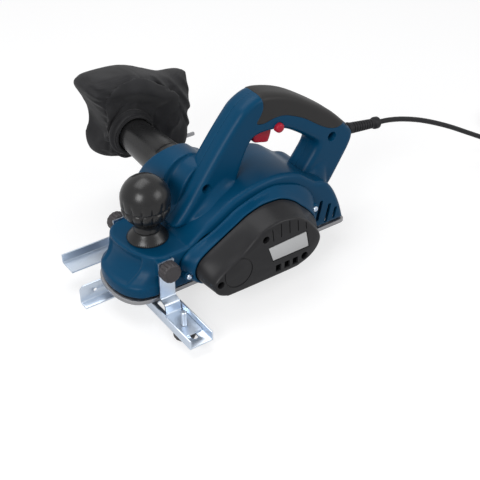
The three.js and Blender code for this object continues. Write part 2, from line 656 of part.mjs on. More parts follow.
// ---------------------------------------------------------------- guide, channel and fence
function nearBracket() {
  const strap = bentSheet(
    [[-STRAP_Y, STRAP_TOP], [-STRAP_Y, 3.5], [-56, 1.6], [-57.5, -10], [-62, -10]],
    SHEET,
    CLAMP_X - STRAP_HALF,
    CLAMP_X + STRAP_HALF,
  );
  const inner = CHANNEL_HALF - SHEET - 0.5;
  const foot = box(CHANNEL_X - inner, CHANNEL_X + inner, -98, -58.5, -10 - SHEET / 2, -10 + SHEET / 2);
  return cut(
    join(strap, foot),
    rod('y', [CLAMP_X, 0, CLAMP_Z], 3.5, -60, -40, 14),
    rod('z', [CHANNEL_X, STUD_Y, 0], 3.5, -20, 0, 14),
  );
}

function guideChannel() {
  const [left, right] = [CHANNEL_X - CHANNEL_HALF, CHANNEL_X + CHANNEL_HALF];
  const section = [
    [left, CHANNEL_TOP], [left, CHANNEL_LOW], [right, CHANNEL_LOW], [right, CHANNEL_TOP],
    [right - SHEET, CHANNEL_TOP], [right - SHEET, CHANNEL_LOW + SHEET],
    [left + SHEET, CHANNEL_LOW + SHEET], [left + SHEET, CHANNEL_TOP],
  ];
  const slot = box(CHANNEL_X - 3.5, CHANNEL_X + 3.5, -105, -32, -20, -5);
  return sidePrism(section, CHANNEL_OUT, FENCE_Y - GAP).subtract(slot);
}

function guideFence() {
  const plate = bentSheet(
    [[FENCE_Y + SHEET / 2, -1.6], [FENCE_Y + SHEET / 2, FLOOR_Z + SHEET / 2], [14, FLOOR_Z + SHEET / 2]],
    SHEET,
    FENCE_FRONT,
    FENCE_REAR,
  );
  const bevels = [[FENCE_FRONT, 1], [FENCE_REAR, -1]].map(([x, s]) => (
    sidePrism([[x - s, 0], [x + 5 * s, 0], [x - s, -7]], 20, 30)
  ));
  const holes = [-146, -60].map((x) => rod('y', [x, 0, -12.5], 2.2, 20, 30, 12));
  return cut(plate, ...bevels, ...holes);
}

function sideKnob(sign) {
  const at = (s) => sign * s;
  return lathe('y', [CLAMP_X, 0, CLAMP_Z], [
    [0, at(60.5)], [9, at(60.5)], [10.6, at(59.6)], [SIDE_KNOB_R, at(57)], [SIDE_KNOB_R, at(49.4)],
    [10, at(48.5)], [3, at(48.5)], [3, at(37.5)], [0, at(37.5)],
  ], 20);
}

ZINC('guide_bracket', nearBracket());
BLACK('guide_knob', sideKnob(-1));
ZINC('guide_channel', guideChannel());
ZINC('guide_fence', guideFence());
ZINC('clamp_stud', rod('z', [CHANNEL_X, STUD_Y, 0], 3, -19.6, 8, 14));
BLACK('clamp_knob', lathe('z', [CHANNEL_X, STUD_Y, 0], [
  [3.3, CHANNEL_LOW - GAP], [10, CHANNEL_LOW - GAP], [12, -15], [12, -21], [10.5, FLOOR_Z], [0, FLOOR_Z],
  [0, -20], [3.3, -20], [3.3, CHANNEL_LOW - GAP],
], 20));

// ---------------------------------------------------------------- rebate depth stop
function depthStop() {
  const strap = bentSheet(
    [[STRAP_Y, STRAP_TOP], [STRAP_Y, 1.4], [52, 1.4]],
    SHEET,
    CLAMP_X - STRAP_HALF,
    CLAMP_X + STRAP_HALF,
  );
  const shoe = bentSheet([[49, 1.4], [72, 1.4], [72, 11.5]], SHEET, -160, -56);
  const slot = box(CLAMP_X - 3.5, CLAMP_X + 3.5, 40, 50, CLAMP_Z - STOP_TRAVEL - 3.5, CLAMP_Z + 3.5);
  return cut(join(strap, shoe), slot);
}

ZINC('depth_stop', depthStop());
BLACK('depth_stop_knob', sideKnob(1));

// ---------------------------------------------------------------- chip outlet and bag
const outlet = [CHUTE_X, 0, CHUTE_Z];
const TUBE_MOUTH_R = 22.6;
const NECK_R = TUBE_R + NECK_WALL;
BLACK('dust_tube', lathe('y', outlet, [
  [22.6, 34], [CHUTE_BORE_R - GAP - 0.2, 34], [CHUTE_BORE_R - GAP - 0.2, 53], [TUBE_MOUTH_R, 57],
  [TUBE_R, 122], [TUBE_R, TUBE_END_Y], [TUBE_R - 2, TUBE_END_Y], [TUBE_R - 2, 122], [TUBE_MOUTH_R - 2, 57],
  [22.6, 34],
], 24));
RUBBER('neck_elastic', lathe('y', outlet, [
  [NECK_R + GAP, 128.4], [NECK_R + 1.7, 129.4], [NECK_R + 1.7, 131.4], [NECK_R + GAP, 132.4], [NECK_R + GAP, 128.4],
], 24));
BLACK('neck_hoop', lathe('y', outlet, [
  [NECK_R + GAP, 134], [NECK_R + 3.9, 134.6], [NECK_R + 4.3, 137], [NECK_R + 3.9, 139.4], [NECK_R + GAP, 140],
  [NECK_R + GAP, 134],
], 24));

function dustBag() {
  const pillow = loft([
    [142, scaled(BAG, 0.35)], [145, scaled(BAG, 0.68)], [152, scaled(BAG, 0.9)], [164, BAG], [186, BAG],
    [198, scaled(BAG, 0.93)], [206, scaled(BAG, 0.78)], [211, scaled(BAG, 0.45)],
  ]);
  const neck = rod('y', outlet, NECK_R, 125, 152, 24);
  return cut(join(pillow, neck), rod('y', outlet, TUBE_R + GAP, 120, TUBE_END_Y + GAP, 24));
}

add('dust_bag', dustBag(), 0x26272a, 0.9, 0);
STEEL('zip_pull', box(64.4, 78, 172.5, 177.5, 35, 39));

// ---------------------------------------------------------------- cord
function reliefPoint(s) {
  return [RELIEF_AT[0] + s * Math.cos(reliefTurn), RELIEF_AT[1], RELIEF_AT[2] - s * Math.sin(reliefTurn)];
}

RUBBER('strain_relief', alongRelief([
  [0, -18], [8.6, -18], [8.6, -14], [6.3, -14], [6.3, 12], [5.9, 30], [5.6, 45], [7, 46], [7, 51],
  [6, RELIEF_LONG], [0, RELIEF_LONG],
]));
const coilSide = COIL_AT[1] - COIL_OUT - GAP - CORD_R;
RUBBER('cord', sweep([
  reliefPoint(RELIEF_LONG + GAP), reliefPoint(70), [268, -0.5, 77], [300, -1.5, 65], [340, -4, 46],
  [380, -8, 24], [415, -13, 5], [448, -18, -11], [480, -23, -19], [505, coilSide, -20.8],
  [COIL_AT[0], coilSide, -20.8],
], CORD_R, 8, 28));
RUBBER('cord_coil', lathe('z', [COIL_AT[0], COIL_AT[1], 0], [
  [COIL_IN + 3, FLOOR_Z], [COIL_OUT - 3, FLOOR_Z], [COIL_OUT, FLOOR_Z + 3], [COIL_OUT, COIL_TOP - 3],
  [COIL_OUT - 3, COIL_TOP], [COIL_IN + 3, COIL_TOP], [COIL_IN, COIL_TOP - 3], [COIL_IN, FLOOR_Z + 3],
  [COIL_IN + 3, FLOOR_Z],
], 24));

function plug() {
  const tailR = 4.5;
  const beside = COIL_OUT - GAP - CORD_R;
  const start = COIL_AT[0] + Math.sqrt(COIL_OUT ** 2 - (beside - tailR) ** 2) + GAP;
  const y = COIL_AT[1] - beside;
  const z = -15;
  const body = planPrism(
    [
      [start + 16, y - 7], [start + 24, y - 13], [start + 52, y - 13], [start + 52, y + 13],
      [start + 24, y + 13], [start + 16, y + 7],
    ],
    FLOOR_Z,
    FLOOR_Z + 18,
  );
  const tail = rod('x', [0, y, z], tailR, start, start + 18, 12);
  const pins = [-9.5, 9.5].map((s) => rod('x', [0, y + s, z], 2.4, start + 51, start + 71, 12));
  return join(body, tail, ...pins);
}

RUBBER('plug', plug());

export default group;
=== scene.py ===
# Electric hand planer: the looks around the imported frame. Lengths are given in millimetres.
# X runs from the depth knob (-X) to the cord (+X), the belt cover is on -Y, the bag on +Y.
import json
import math
import bmesh
import bpy
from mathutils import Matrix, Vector


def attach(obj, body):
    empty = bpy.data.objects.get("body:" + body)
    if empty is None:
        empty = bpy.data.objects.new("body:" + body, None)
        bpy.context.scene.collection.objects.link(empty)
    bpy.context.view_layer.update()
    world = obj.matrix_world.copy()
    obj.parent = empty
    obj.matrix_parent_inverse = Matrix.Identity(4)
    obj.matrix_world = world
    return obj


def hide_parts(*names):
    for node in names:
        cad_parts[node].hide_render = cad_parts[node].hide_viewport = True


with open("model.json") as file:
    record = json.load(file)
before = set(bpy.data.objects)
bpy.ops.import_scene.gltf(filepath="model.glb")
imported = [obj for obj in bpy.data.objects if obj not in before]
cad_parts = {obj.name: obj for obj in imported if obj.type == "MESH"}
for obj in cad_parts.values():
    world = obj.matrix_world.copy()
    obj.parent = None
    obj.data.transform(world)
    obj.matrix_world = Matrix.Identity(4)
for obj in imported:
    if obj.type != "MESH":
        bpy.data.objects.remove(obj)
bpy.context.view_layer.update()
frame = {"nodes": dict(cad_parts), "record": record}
nodes = frame["nodes"]
scene = bpy.context.scene
MM = 0.001
FLOOR_Z = -24.0


# ---------------------------------------------------------------- working by hand
def mm(*values):
    return Vector([v * MM for v in values])


def object_mode():
    if bpy.context.object and bpy.context.object.mode != "OBJECT":
        bpy.ops.object.mode_set(mode="OBJECT")


def only(*pieces):
    object_mode()
    bpy.ops.object.select_all(action="DESELECT")
    for piece in pieces:
        piece.select_set(True)
    bpy.context.view_layer.objects.active = pieces[-1]
    return pieces[-1]


def edit(piece, mode="VERT"):
    only(piece)
    bpy.ops.object.mode_set(mode="EDIT")
    bpy.ops.mesh.select_mode(type=mode)
    bpy.ops.mesh.select_all(action="SELECT")


def pick(piece, test, kind="faces"):
    """In edit mode, selects the faces, edges or verts that pass the test, given their centre in mm."""
    bpy.ops.mesh.select_all(action="DESELECT")
    mesh = bmesh.from_edit_mesh(piece.data)
    mesh.verts.index_update()
    for part in getattr(mesh, kind):
        if kind == "faces":
            chosen = test(part.calc_center_median() / MM, part.normal)
        elif kind == "edges":
            chosen = test((part.verts[0].co + part.verts[1].co) / 2 / MM, part)
        else:
            chosen = test(part.co / MM, part.index)
        if chosen:
            part.select_set(True)
    mesh.select_flush_mode()
    bmesh.update_edit_mesh(piece.data)


def outward():
    """In edit mode, turns every face to look out of its piece."""
    bpy.ops.mesh.select_all(action="SELECT")
    bpy.ops.mesh.normals_make_consistent(inside=False)


def turn_about(piece, angle, centre):
    """Turns a piece about the Y axis through the centre."""
    edit(piece)
    bpy.ops.transform.rotate(value=angle, orient_axis="Y", center_override=mm(*centre))
    object_mode()
    return piece


def cut_off(piece, at, way):
    """Takes away the side of a piece that the plane's direction points to, and closes the cut."""
    edit(piece)
    bpy.ops.mesh.bisect(plane_co=mm(*at), plane_no=way, use_fill=True, clear_outer=True)
    outward()
    object_mode()
    return piece


def named(name):
    piece = bpy.context.object
    piece.name = piece.data.name = name
    return piece


def settle(piece):
    only(piece)
    bpy.ops.object.transform_apply(location=True, rotation=True, scale=True)
    return piece


def modify(piece, kind, **settings):
    only(piece)
    modifier = piece.modifiers.new("step", kind)
    for key, value in settings.items():
        setattr(modifier, key, value)
    bpy.ops.object.modifier_apply(modifier=modifier.name)
    return piece


def bevel(piece, width, segments=3, angle=35):
    return modify(
        piece, "BEVEL", width=width * MM, segments=segments, limit_method="ANGLE",
        angle_limit=math.radians(angle), use_clamp_overlap=True,
    )


def boolean(piece, others, how="DIFFERENCE"):
    for other in others:
        modify(piece, "BOOLEAN", object=other, operation=how, solver="EXACT")
        bpy.data.objects.remove(other, do_unlink=True)
    return piece


def melt(piece, size, rounds=4):
    """Runs the shells of a piece into one skin with soft inner corners."""
    modify(piece, "REMESH", mode="VOXEL", voxel_size=size * MM)
    return modify(piece, "SMOOTH", factor=0.5, iterations=rounds)


def merge(name, *pieces):
    only(*pieces)
    bpy.ops.object.join()
    return named(name)


def twin(piece, name):
    only(piece)
    bpy.ops.object.duplicate(linked=False)
    return named(name)


def smooth(piece, angle=35):
    only(piece)
    bpy.ops.object.shade_smooth_by_angle(angle=math.radians(angle))
    return piece


# ---------------------------------------------------------------- lines and skins
WAY = {"x": (1, 0, 0), "y": (0, 1, 0), "z": (0, 0, 1)}


def between(before, a, b, after, t):
    """The point at share t of a smooth line from a to b, given the points on either side of them."""
    return 0.5 * (
        2 * a + (b - before) * t + (2 * before - 5 * a + 4 * b - after) * t * t
        + (3 * a - before - 3 * b + after) * t ** 3
    )


def curve(points, steps=5):
    """A smooth closed line through the points. A point with a third value stays a sharp corner."""
    count = len(points)
    line = []
    for i in range(count):
        p1, p2 = points[i], points[(i + 1) % count]
        a, b = Vector(p1[:2]), Vector(p2[:2])
        before = Vector(points[i - 1][:2]) if len(p1) < 3 else 2 * a - b
        after = Vector(points[(i + 2) % count][:2]) if len(p2) < 3 else 2 * b - a
        pieces = 1 if len(p1) > 2 and len(p2) > 2 else steps
        for k in range(pieces):
            line.append(between(before, a, b, after, k / pieces))
    return [tuple(p) for p in line]


def offset(points, distance):
    """The closed line moved outward, or inward when the distance is negative."""
    count = len(points)
    flat = [Vector(p[:2]) for p in points]
    area = sum(
        flat[i].x * flat[(i + 1) % count].y - flat[(i + 1) % count].x * flat[i].y for i in range(count)
    )
    turn = 1 if area > 0 else -1
    normals = []
    for i in range(count):
        d = (flat[(i + 1) % count] - flat[i]).normalized()
        normals.append(Vector((turn * d.y, -turn * d.x)))
    moved = []
    for i in range(count):
        a, b = normals[i - 1], normals[i]
        push = (a + b) * distance / max(1 + a.dot(b), 0.4)
        moved.append((flat[i].x + push.x, flat[i].y + push.y) + tuple(points[i][2:]))
    return moved


def blend(first, second, share):
    return [
        (a[0] + share * (b[0] - a[0]), a[1] + share * (b[1] - a[1])) + tuple(a[2:])
        for a, b in zip(first, second)
    ]


def place_side(points, y):
    return [(p[0], y, p[1]) for p in points]


def place_plan(points, z):
    return [(p[0], p[1], z) for p in points]


def trace(name, lines, closed=True):
    """Draws each line point by point, by extruding one vertex from the last."""
    object_mode()
    bpy.ops.object.select_all(action="DESELECT")
    bpy.ops.mesh.primitive_plane_add(size=MM)
    piece = named(name)
    edit(piece)
    bpy.ops.mesh.merge(type="CENTER")
    at = Vector((0, 0, 0))
    for n, line in enumerate(lines):
        for k, point in enumerate(line):
            step = mm(*point) - at
            if k == 0:
                if n:
                    bpy.ops.mesh.duplicate()
                bpy.ops.transform.translate(value=step)
            else:
                bpy.ops.mesh.extrude_region_move(TRANSFORM_OT_translate={"value": step})
            at = mm(*point)
    if closed:
        first = 0
        for line in lines:
            ends = (first, first + len(line) - 1)
            pick(piece, lambda co, index: index in ends, "verts")
            bpy.ops.mesh.edge_face_add()
            first += len(line)
    return piece


def skin(name, loops):
    """Bridges closed loops with the same number of points, one to the next, and closes both ends."""
    piece = trace(name, loops)
    count = len(loops[0])
    for k in range(len(loops) - 1):
        low, high = k * count, (k + 2) * count
        pick(piece, lambda co, index: low <= index < high, "verts")
        bpy.ops.mesh.bridge_edge_loops()
    for k in (0, len(loops) - 1):
        low, high = k * count, (k + 1) * count
        pick(piece, lambda co, index: low <= index < high, "verts")
        bpy.ops.mesh.edge_face_add()
    outward()
    object_mode()
    return piece


def draw_out(piece, way):
    """Fills the traced line of a piece and draws the face out into a solid."""
    bpy.ops.mesh.select_all(action="SELECT")
    bpy.ops.mesh.edge_face_add()
    bpy.ops.mesh.extrude_region_move(TRANSFORM_OT_translate={"value": way})
    outward()
    object_mode()
    return piece


def prism(name, points, y0, y1):
    """A side outline drawn out along Y."""
    return draw_out(trace(name, [place_side(points, y0)]), mm(0, y1 - y0, 0))


def slab(name, points, z0, z1):
    """A plan outline drawn up along Z."""
    return draw_out(trace(name, [place_plan(points, z0)]), mm(0, 0, z1 - z0))


def spun(name, profile, centre, axis, steps=64):
    """Turns a line of (radius, distance along the axis) about the axis."""
    along = Vector(WAY.get(axis, axis)).normalized()
    across = Vector((0, 0, 1)) if abs(along.z) < 0.5 else Vector((1, 0, 0))
    across = (across - across.dot(along) * along).normalized()
    base = Vector(centre)
    piece = trace(name, [[tuple(base + across * r + along * s) for r, s in profile]], closed=False)
    bpy.ops.mesh.select_all(action="SELECT")
    bpy.ops.mesh.spin(steps=steps, angle=2 * math.pi, center=mm(*centre), axis=along)
    bpy.ops.mesh.select_all(action="SELECT")
    bpy.ops.mesh.remove_doubles(threshold=0.004 * MM)
    outward()
    object_mode()
    return piece


def round_bar(name, centre, axis, radius, length, sides=32):
    object_mode()
    bpy.ops.object.select_all(action="DESELECT")
    along = Vector(WAY.get(axis, axis))
    turn = along.to_track_quat("Z", "Y").to_euler()
    bpy.ops.mesh.primitive_cylinder_add(
        vertices=sides, radius=radius * MM, depth=length * MM, location=mm(*centre), rotation=turn,
    )
    return settle(named(name))


def brick(name, low, high):
    object_mode()
    bpy.ops.object.select_all(action="DESELECT")
    middle = [(a + b) / 2 for a, b in zip(low, high)]
    size = [(b - a) * MM for a, b in zip(low, high)]
    bpy.ops.mesh.primitive_cube_add(size=1, location=mm(*middle), scale=size)
    return settle(named(name))


def bent_strip(name, path, x0, x1, thick, radius=1.6):
    """A strip of sheet metal: a line in the (y, z) plane drawn out along X and given its thickness."""
    line = []
    for i, (y, z) in enumerate(path):
        here = Vector((y, z))
        if 0 < i < len(path) - 1:
            back = Vector(path[i - 1]) - here
            ahead = Vector(path[i + 1]) - here
            reach = min(radius, 0.45 * back.length, 0.45 * ahead.length)
            start, end = here + back.normalized() * reach, here + ahead.normalized() * reach
            for k in range(5):
                t = k / 4
                p = start * (1 - t) ** 2 + here * 2 * t * (1 - t) + end * t * t
                line.append((x0, p.x, p.y))
        else:
            line.append((x0, y, z))
    piece = trace(name, [line], closed=False)
    bpy.ops.mesh.select_all(action="SELECT")
    bpy.ops.mesh.extrude_region_move(TRANSFORM_OT_translate={"value": mm(x1 - x0, 0, 0)})
    object_mode()
    modify(piece, "SOLIDIFY", thickness=thick * MM, offset=0, use_even_offset=True)
    edit(piece)
    outward()
    object_mode()
    return piece


# ---------------------------------------------------------------- camera
VIEW_AZIMUTH = math.radians(-34.85)
VIEW_HEIGHT = math.radians(35.96)
VIEW_DISTANCE = 1.13795
VIEW_TARGET = Vector((0.02683, 0.0, -0.00304))
back = Vector((
    math.sin(VIEW_AZIMUTH) * math.cos(VIEW_HEIGHT),
    -math.cos(VIEW_AZIMUTH) * math.cos(VIEW_HEIGHT),
    math.sin(VIEW_HEIGHT),
))
camera_data = bpy.data.cameras.new("camera")
camera_data.lens = 75
camera_data.sensor_width = 36
camera_data.clip_end = 30
camera = bpy.data.objects.new("camera", camera_data)
scene.collection.objects.link(camera)
camera.location = VIEW_TARGET + back * VIEW_DISTANCE
camera.rotation_euler = (-back).to_track_quat("-Z", "Y").to_euler()
scene.camera = camera
scene.view_settings.view_transform = "Standard"


# ---------------------------------------------------------------- materials
def group(name, inputs, outputs, build):
    """A shader node group: inputs are (name, kind, value), outputs are (name, kind)."""
    tree = bpy.data.node_groups.new(name, "ShaderNodeTree")
    for label, kind, value in inputs:
        socket = tree.interface.new_socket(name=label, in_out="INPUT", socket_type=kind)
        socket.default_value = value
    for label, kind in outputs:
        tree.interface.new_socket(name=label, in_out="OUTPUT", socket_type=kind)
    source = tree.nodes.new("NodeGroupInput")
    sink = tree.nodes.new("NodeGroupOutput")
    build(tree, source.outputs, sink.inputs)
    return tree


def node(tree, kind, links=(), **settings):
    made = tree.nodes.new(kind)
    for key, value in settings.items():
        setattr(made, key, value)
    for socket, value in dict(links).items():
        target = made.inputs[socket]
        if isinstance(value, bpy.types.NodeSocket):
            tree.links.new(value, target)
        else:
            target.default_value = value
    return made


def maths(tree, how, first, second, clamp=False):
    """Two numbers, or sockets, put together by one operation."""
    return node(tree, "ShaderNodeMath", {0: first, 1: second}, operation=how, use_clamp=clamp).outputs[0]


def mixed_color(tree, share, first, second):
    return node(tree, "ShaderNodeMix", {0: share, 6: first, 7: second}, data_type="RGBA").outputs[2]


FLOAT, COLOR, VECTOR = "NodeSocketFloat", "NodeSocketColor", "NodeSocketVector"


def build_grain(tree, source, sink):
    at = node(tree, "ShaderNodeTexCoord").outputs["Object"]
    fine = node(tree, "ShaderNodeTexNoise", {"Vector": at, "Scale": source["Scale"], "Detail": 2.0})
    broad = node(tree, "ShaderNodeTexNoise", {"Vector": at, "Scale": 26.0, "Detail": 3.0})
    tree.links.new(fine.outputs["Fac"], sink["Height"])
    span = node(tree, "ShaderNodeMapRange", {
        "Value": broad.outputs["Fac"], "From Min": 0.3, "From Max": 0.7, "To Min": -1.0, "To Max": 1.0,
    })
    tint = maths(tree, "MULTIPLY", span.outputs["Result"], source["Patchiness"])
    value = maths(tree, "ADD", tint, 1.0)
    shade = node(tree, "ShaderNodeHueSaturation", {"Color": source["Color"], "Value": value})
    tree.links.new(shade.outputs["Color"], sink["Color"])
    tree.links.new(maths(tree, "ADD", source["Roughness"], tint), sink["Roughness"])


GRAIN = group(
    "moulded_grain",
    [
        ("Color", COLOR, (0.5, 0.5, 0.5, 1)), ("Roughness", FLOAT, 0.4), ("Scale", FLOAT, 1400.0),
        ("Patchiness", FLOAT, 0.04),
    ],
    [("Color", COLOR), ("Roughness", FLOAT), ("Height", FLOAT)],
    build_grain,
)


def build_wear(tree, source, sink):
    edge = node(tree, "ShaderNodeNewGeometry").outputs["Pointiness"]
    at = node(tree, "ShaderNodeTexCoord").outputs["Object"]
    ragged = node(tree, "ShaderNodeTexNoise", {"Vector": at, "Scale": 160.0, "Detail": 4.0})
    band = node(tree, "ShaderNodeMapRange", {"Value": edge, "From Min": 0.51, "From Max": 0.60})
    part = maths(tree, "MULTIPLY", band.outputs["Result"], ragged.outputs["Fac"])
    mask = maths(tree, "MULTIPLY", part, source["Amount"], clamp=True)
    tree.links.new(mixed_color(tree, mask, source["Color"], source["Worn"]), sink["Color"])
    tree.links.new(mask, sink["Mask"])


WEAR = group(
    "edge_wear",
    [("Color", COLOR, (0.5, 0.5, 0.5, 1)), ("Worn", COLOR, (0.7, 0.7, 0.7, 1)), ("Amount", FLOAT, 0.5)],
    [("Color", COLOR), ("Mask", FLOAT)],
    build_wear,
)


def build_brushed(tree, source, sink):
    at = node(tree, "ShaderNodeTexCoord").outputs["Object"]
    stretched = node(tree, "ShaderNodeMapping", {"Vector": at, "Scale": source["Stretch"]})
    lines = node(tree, "ShaderNodeTexNoise", {"Vector": stretched.outputs[0], "Scale": 1.0, "Detail": 3.0})
    cloud = node(tree, "ShaderNodeTexNoise", {"Vector": at, "Scale": 45.0, "Detail": 4.0})
    tree.links.new(lines.outputs["Fac"], sink["Height"])
    span = node(tree, "ShaderNodeMapRange", {
        "Value": cloud.outputs["Fac"], "From Min": 0.25, "From Max": 0.75,
        "To Min": source["Rough low"], "To Max": source["Rough high"],
    })
    tree.links.new(span.outputs["Result"], sink["Roughness"])
    mixed = mixed_color(tree, cloud.outputs["Fac"], source["Color"], source["Second"])
    tree.links.new(mixed, sink["Color"])


BRUSHED = group(
    "brushed_metal",
    [
        ("Color", COLOR, (0.6, 0.6, 0.6, 1)), ("Second", COLOR, (0.5, 0.5, 0.5, 1)),
        ("Stretch", VECTOR, (40, 1500, 1500)), ("Rough low", FLOAT, 0.2), ("Rough high", FLOAT, 0.4),
    ],
    [("Color", COLOR), ("Roughness", FLOAT), ("Height", FLOAT)],
    build_brushed,
)


def build_weave(tree, source, sink):
    at = node(tree, "ShaderNodeTexCoord").outputs["Object"]
    strands = {"Vector": at, "Scale": source["Scale"], "Distortion": 1.2, "Detail": 1.0, "Detail Scale": 2.0}
    warp = node(tree, "ShaderNodeTexWave", strands, bands_direction="X")
    weft = node(tree, "ShaderNodeTexWave", strands, bands_direction="Z")
    both = maths(tree, "MULTIPLY", warp.outputs["Fac"], weft.outputs["Fac"])
    tree.links.new(both, sink["Height"])
    worn = node(tree, "ShaderNodeTexNoise", {"Vector": at, "Scale": 30.0, "Detail": 4.0})
    span = node(tree, "ShaderNodeMapRange", {"Value": worn.outputs["Fac"], "From Min": 0.3, "From Max": 0.7})
    mixed = mixed_color(tree, span.outputs["Result"], source["Color"], source["Second"])
    thread = node(tree, "ShaderNodeMapRange", {"Value": both, "To Min": 0.82, "To Max": 1.1})
    shade = node(tree, "ShaderNodeHueSaturation", {"Color": mixed, "Value": thread.outputs["Result"]})
    tree.links.new(shade.outputs["Color"], sink["Color"])


WEAVE = group(
    "cloth_weave",
    [
        ("Color", COLOR, (0.03, 0.03, 0.03, 1)), ("Second", COLOR, (0.05, 0.05, 0.05, 1)),
        ("Scale", FLOAT, 260.0),
    ],
    [("Color", COLOR), ("Height", FLOAT)],
    build_weave,
)


def shader(name):
    material = bpy.data.materials.new(name)
    material.use_nodes = True
    return material, material.node_tree, material.node_tree.nodes["Principled BSDF"]


def place_group(tree, kind, **values):
    made = tree.nodes.new("ShaderNodeGroup")
    made.node_tree = kind
    for key, value in values.items():
        socket = made.inputs[key.replace("_", " ")]
        if isinstance(value, bpy.types.NodeSocket):
            tree.links.new(value, socket)
        else:
            socket.default_value = value
    return made


def add_bump(tree, body, height, strength, distance):
    bump = node(tree, "ShaderNodeBump", {"Height": height, "Strength": strength, "Distance": distance * MM})
    tree.links.new(bump.outputs["Normal"], body.inputs["Normal"])


def set_sockets(body, values):
    for key, value in values.items():
        body.inputs[key].default_value = value


def rgb(red, green, blue):
    """Screen colour, 0 to 255, as the linear colour a shader takes."""
    def line(c):
        c /= 255
        return c / 12.92 if c <= 0.04045 else ((c + 0.055) / 1.055) ** 2.4
    return (line(red), line(green), line(blue), 1.0)


def moulded(name, color, roughness, scale, patch, depth, strength, worn=None, amount=0.0, shine=0.5):
    """A moulded plastic or rubber with a fine grain. Worn is the colour its edges rub to."""
    material, tree, body = shader(name)
    grain = place_group(tree, GRAIN, Color=color, Roughness=roughness, Scale=scale, Patchiness=patch)
    out = grain.outputs["Color"]
    if worn:
        out = place_group(tree, WEAR, Color=out, Worn=worn, Amount=amount).outputs["Color"]
    tree.links.new(out, body.inputs["Base Color"])
    tree.links.new(grain.outputs["Roughness"], body.inputs["Roughness"])
    add_bump(tree, body, grain.outputs["Height"], strength, depth)
    set_sockets(body, {"Specular IOR Level": shine})
    return material


def metal(name, color, second, low, high, stretch=(40, 1500, 1500), strength=0.15):
    """A metal that clouds between two colours and two roughnesses, with its brush lines stretched."""
    material, tree, body = shader(name)
    brushed = place_group(
        tree, BRUSHED, Color=color, Second=second, Stretch=stretch, Rough_low=low, Rough_high=high,
    )
    tree.links.new(brushed.outputs["Color"], body.inputs["Base Color"])
    tree.links.new(brushed.outputs["Roughness"], body.inputs["Roughness"])
    add_bump(tree, body, brushed.outputs["Height"], strength, 0.03)
    set_sockets(body, {"Metallic": 1.0})
    return material


MAT = {
    "blue_housing": moulded(
        "blue_housing", rgb(2, 66, 100), roughness=0.36, scale=1500, patch=0.03, depth=0.04, strength=0.2,
        worn=rgb(40, 100, 134), amount=0.3, shine=0.14,
    ),
    "black_plastic": moulded(
        "black_plastic", rgb(37, 37, 39), roughness=0.34, scale=1200, patch=0.03, depth=0.05, strength=0.35,
        worn=rgb(84, 84, 86), amount=0.4, shine=0.2,
    ),
    "grip_rubber": moulded(
        "grip_rubber", rgb(48, 47, 47), roughness=0.46, scale=900, patch=0.03, depth=0.10, strength=0.4,
        worn=rgb(80, 79, 80), amount=0.3, shine=0.2,
    ),
    "soft_rubber": moulded(
        "soft_rubber", rgb(36, 36, 38), roughness=0.5, scale=900, patch=0.03, depth=0.08, strength=0.4,
        shine=0.2,
    ),
    "red_plastic": moulded(
        "red_plastic", rgb(182, 26, 52), roughness=0.36, scale=1500, patch=0.02, depth=0.03, strength=0.2,
        worn=rgb(210, 90, 105), amount=0.3, shine=0.25,
    ),
    "label": moulded(
        "label", rgb(200, 201, 202), roughness=0.42, scale=500, patch=0.01, depth=0.01, strength=0.1,
    ),
    "sole_alloy": metal(
        "sole_alloy", rgb(168, 168, 170), rgb(150, 150, 153), low=0.32, high=0.5, stretch=(900, 14, 900),
    ),
    "bright_zinc": metal(
        "bright_zinc", rgb(226, 235, 246), rgb(206, 219, 235), low=0.28, high=0.4, stretch=(60, 60, 60),
        strength=0.04,
    ),
    "steel": metal("steel", rgb(176, 177, 180), rgb(150, 151, 154), low=0.25, high=0.42),
    "copper_winding": metal(
        "copper_winding", rgb(176, 108, 62), rgb(140, 78, 40), low=0.3, high=0.5, stretch=(60, 900, 60),
    ),
    "brass": metal("brass", rgb(194, 160, 92), rgb(170, 136, 70), low=0.28, high=0.45),
    "carbon": moulded(
        "carbon", rgb(38, 38, 38), roughness=0.7, scale=900, patch=0.05, depth=0.05, strength=0.4,
    ),
}


def make_cloth():
    material, tree, body = shader("bag_cloth")
    weave = place_group(tree, WEAVE, Color=rgb(38, 38, 40), Second=rgb(56, 56, 58), Scale=260.0)
    tree.links.new(weave.outputs["Color"], body.inputs["Base Color"])
    add_bump(tree, body, weave.outputs["Height"], 0.5, 0.12)
    set_sockets(
        body, {"Roughness": 0.78, "Sheen Weight": 0.12, "Sheen Roughness": 0.45, "Specular IOR Level": 0.15},
    )
    return material


MAT["bag_cloth"] = make_cloth()
KNOB_BLACK = moulded(
    "knob_black", rgb(27, 27, 28), roughness=0.27, scale=1400, patch=0.02, depth=0.03, strength=0.2,
    worn=rgb(80, 78, 77), amount=0.4, shine=0.42,
)
KNOB_GREY = moulded(
    "knob_grey", rgb(66, 63, 65), roughness=0.4, scale=1400, patch=0.02, depth=0.03, strength=0.2,
    worn=rgb(100, 96, 98), amount=0.4, shine=0.3,
)
# Painted shade: the screw heads sunk in the belt cover and the handle get this dark metal, which paints the
# shade of their deep holes; the exposed rim screws keep the bright zinc.
HOLE_SHADE_SCREW = metal("hole_shade_screw", rgb(52, 52, 54), rgb(38, 38, 40), low=0.4, high=0.55)


def dress(piece, slot, body, stands_for=(), angle=35, material=None):
    """The last steps on a finished piece: shading, finish, the body it moves with."""
    smooth(piece, angle)
    piece.data.materials.clear()
    piece.data.materials.append(material or MAT[slot])
    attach(piece, body)
    if stands_for:
        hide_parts(*stands_for)
    return piece


for row in frame["record"]["subparts"]:
    shown = nodes[row["node"]]
    shown.data.materials.clear()
    shown.data.materials.append(MAT[row["material_slot"]])


# ---------------------------------------------------------------- stage and light
MIRRORED = 0.6
FLOOR_GLOW = 0.66
ROOM_LIGHT = 0.34


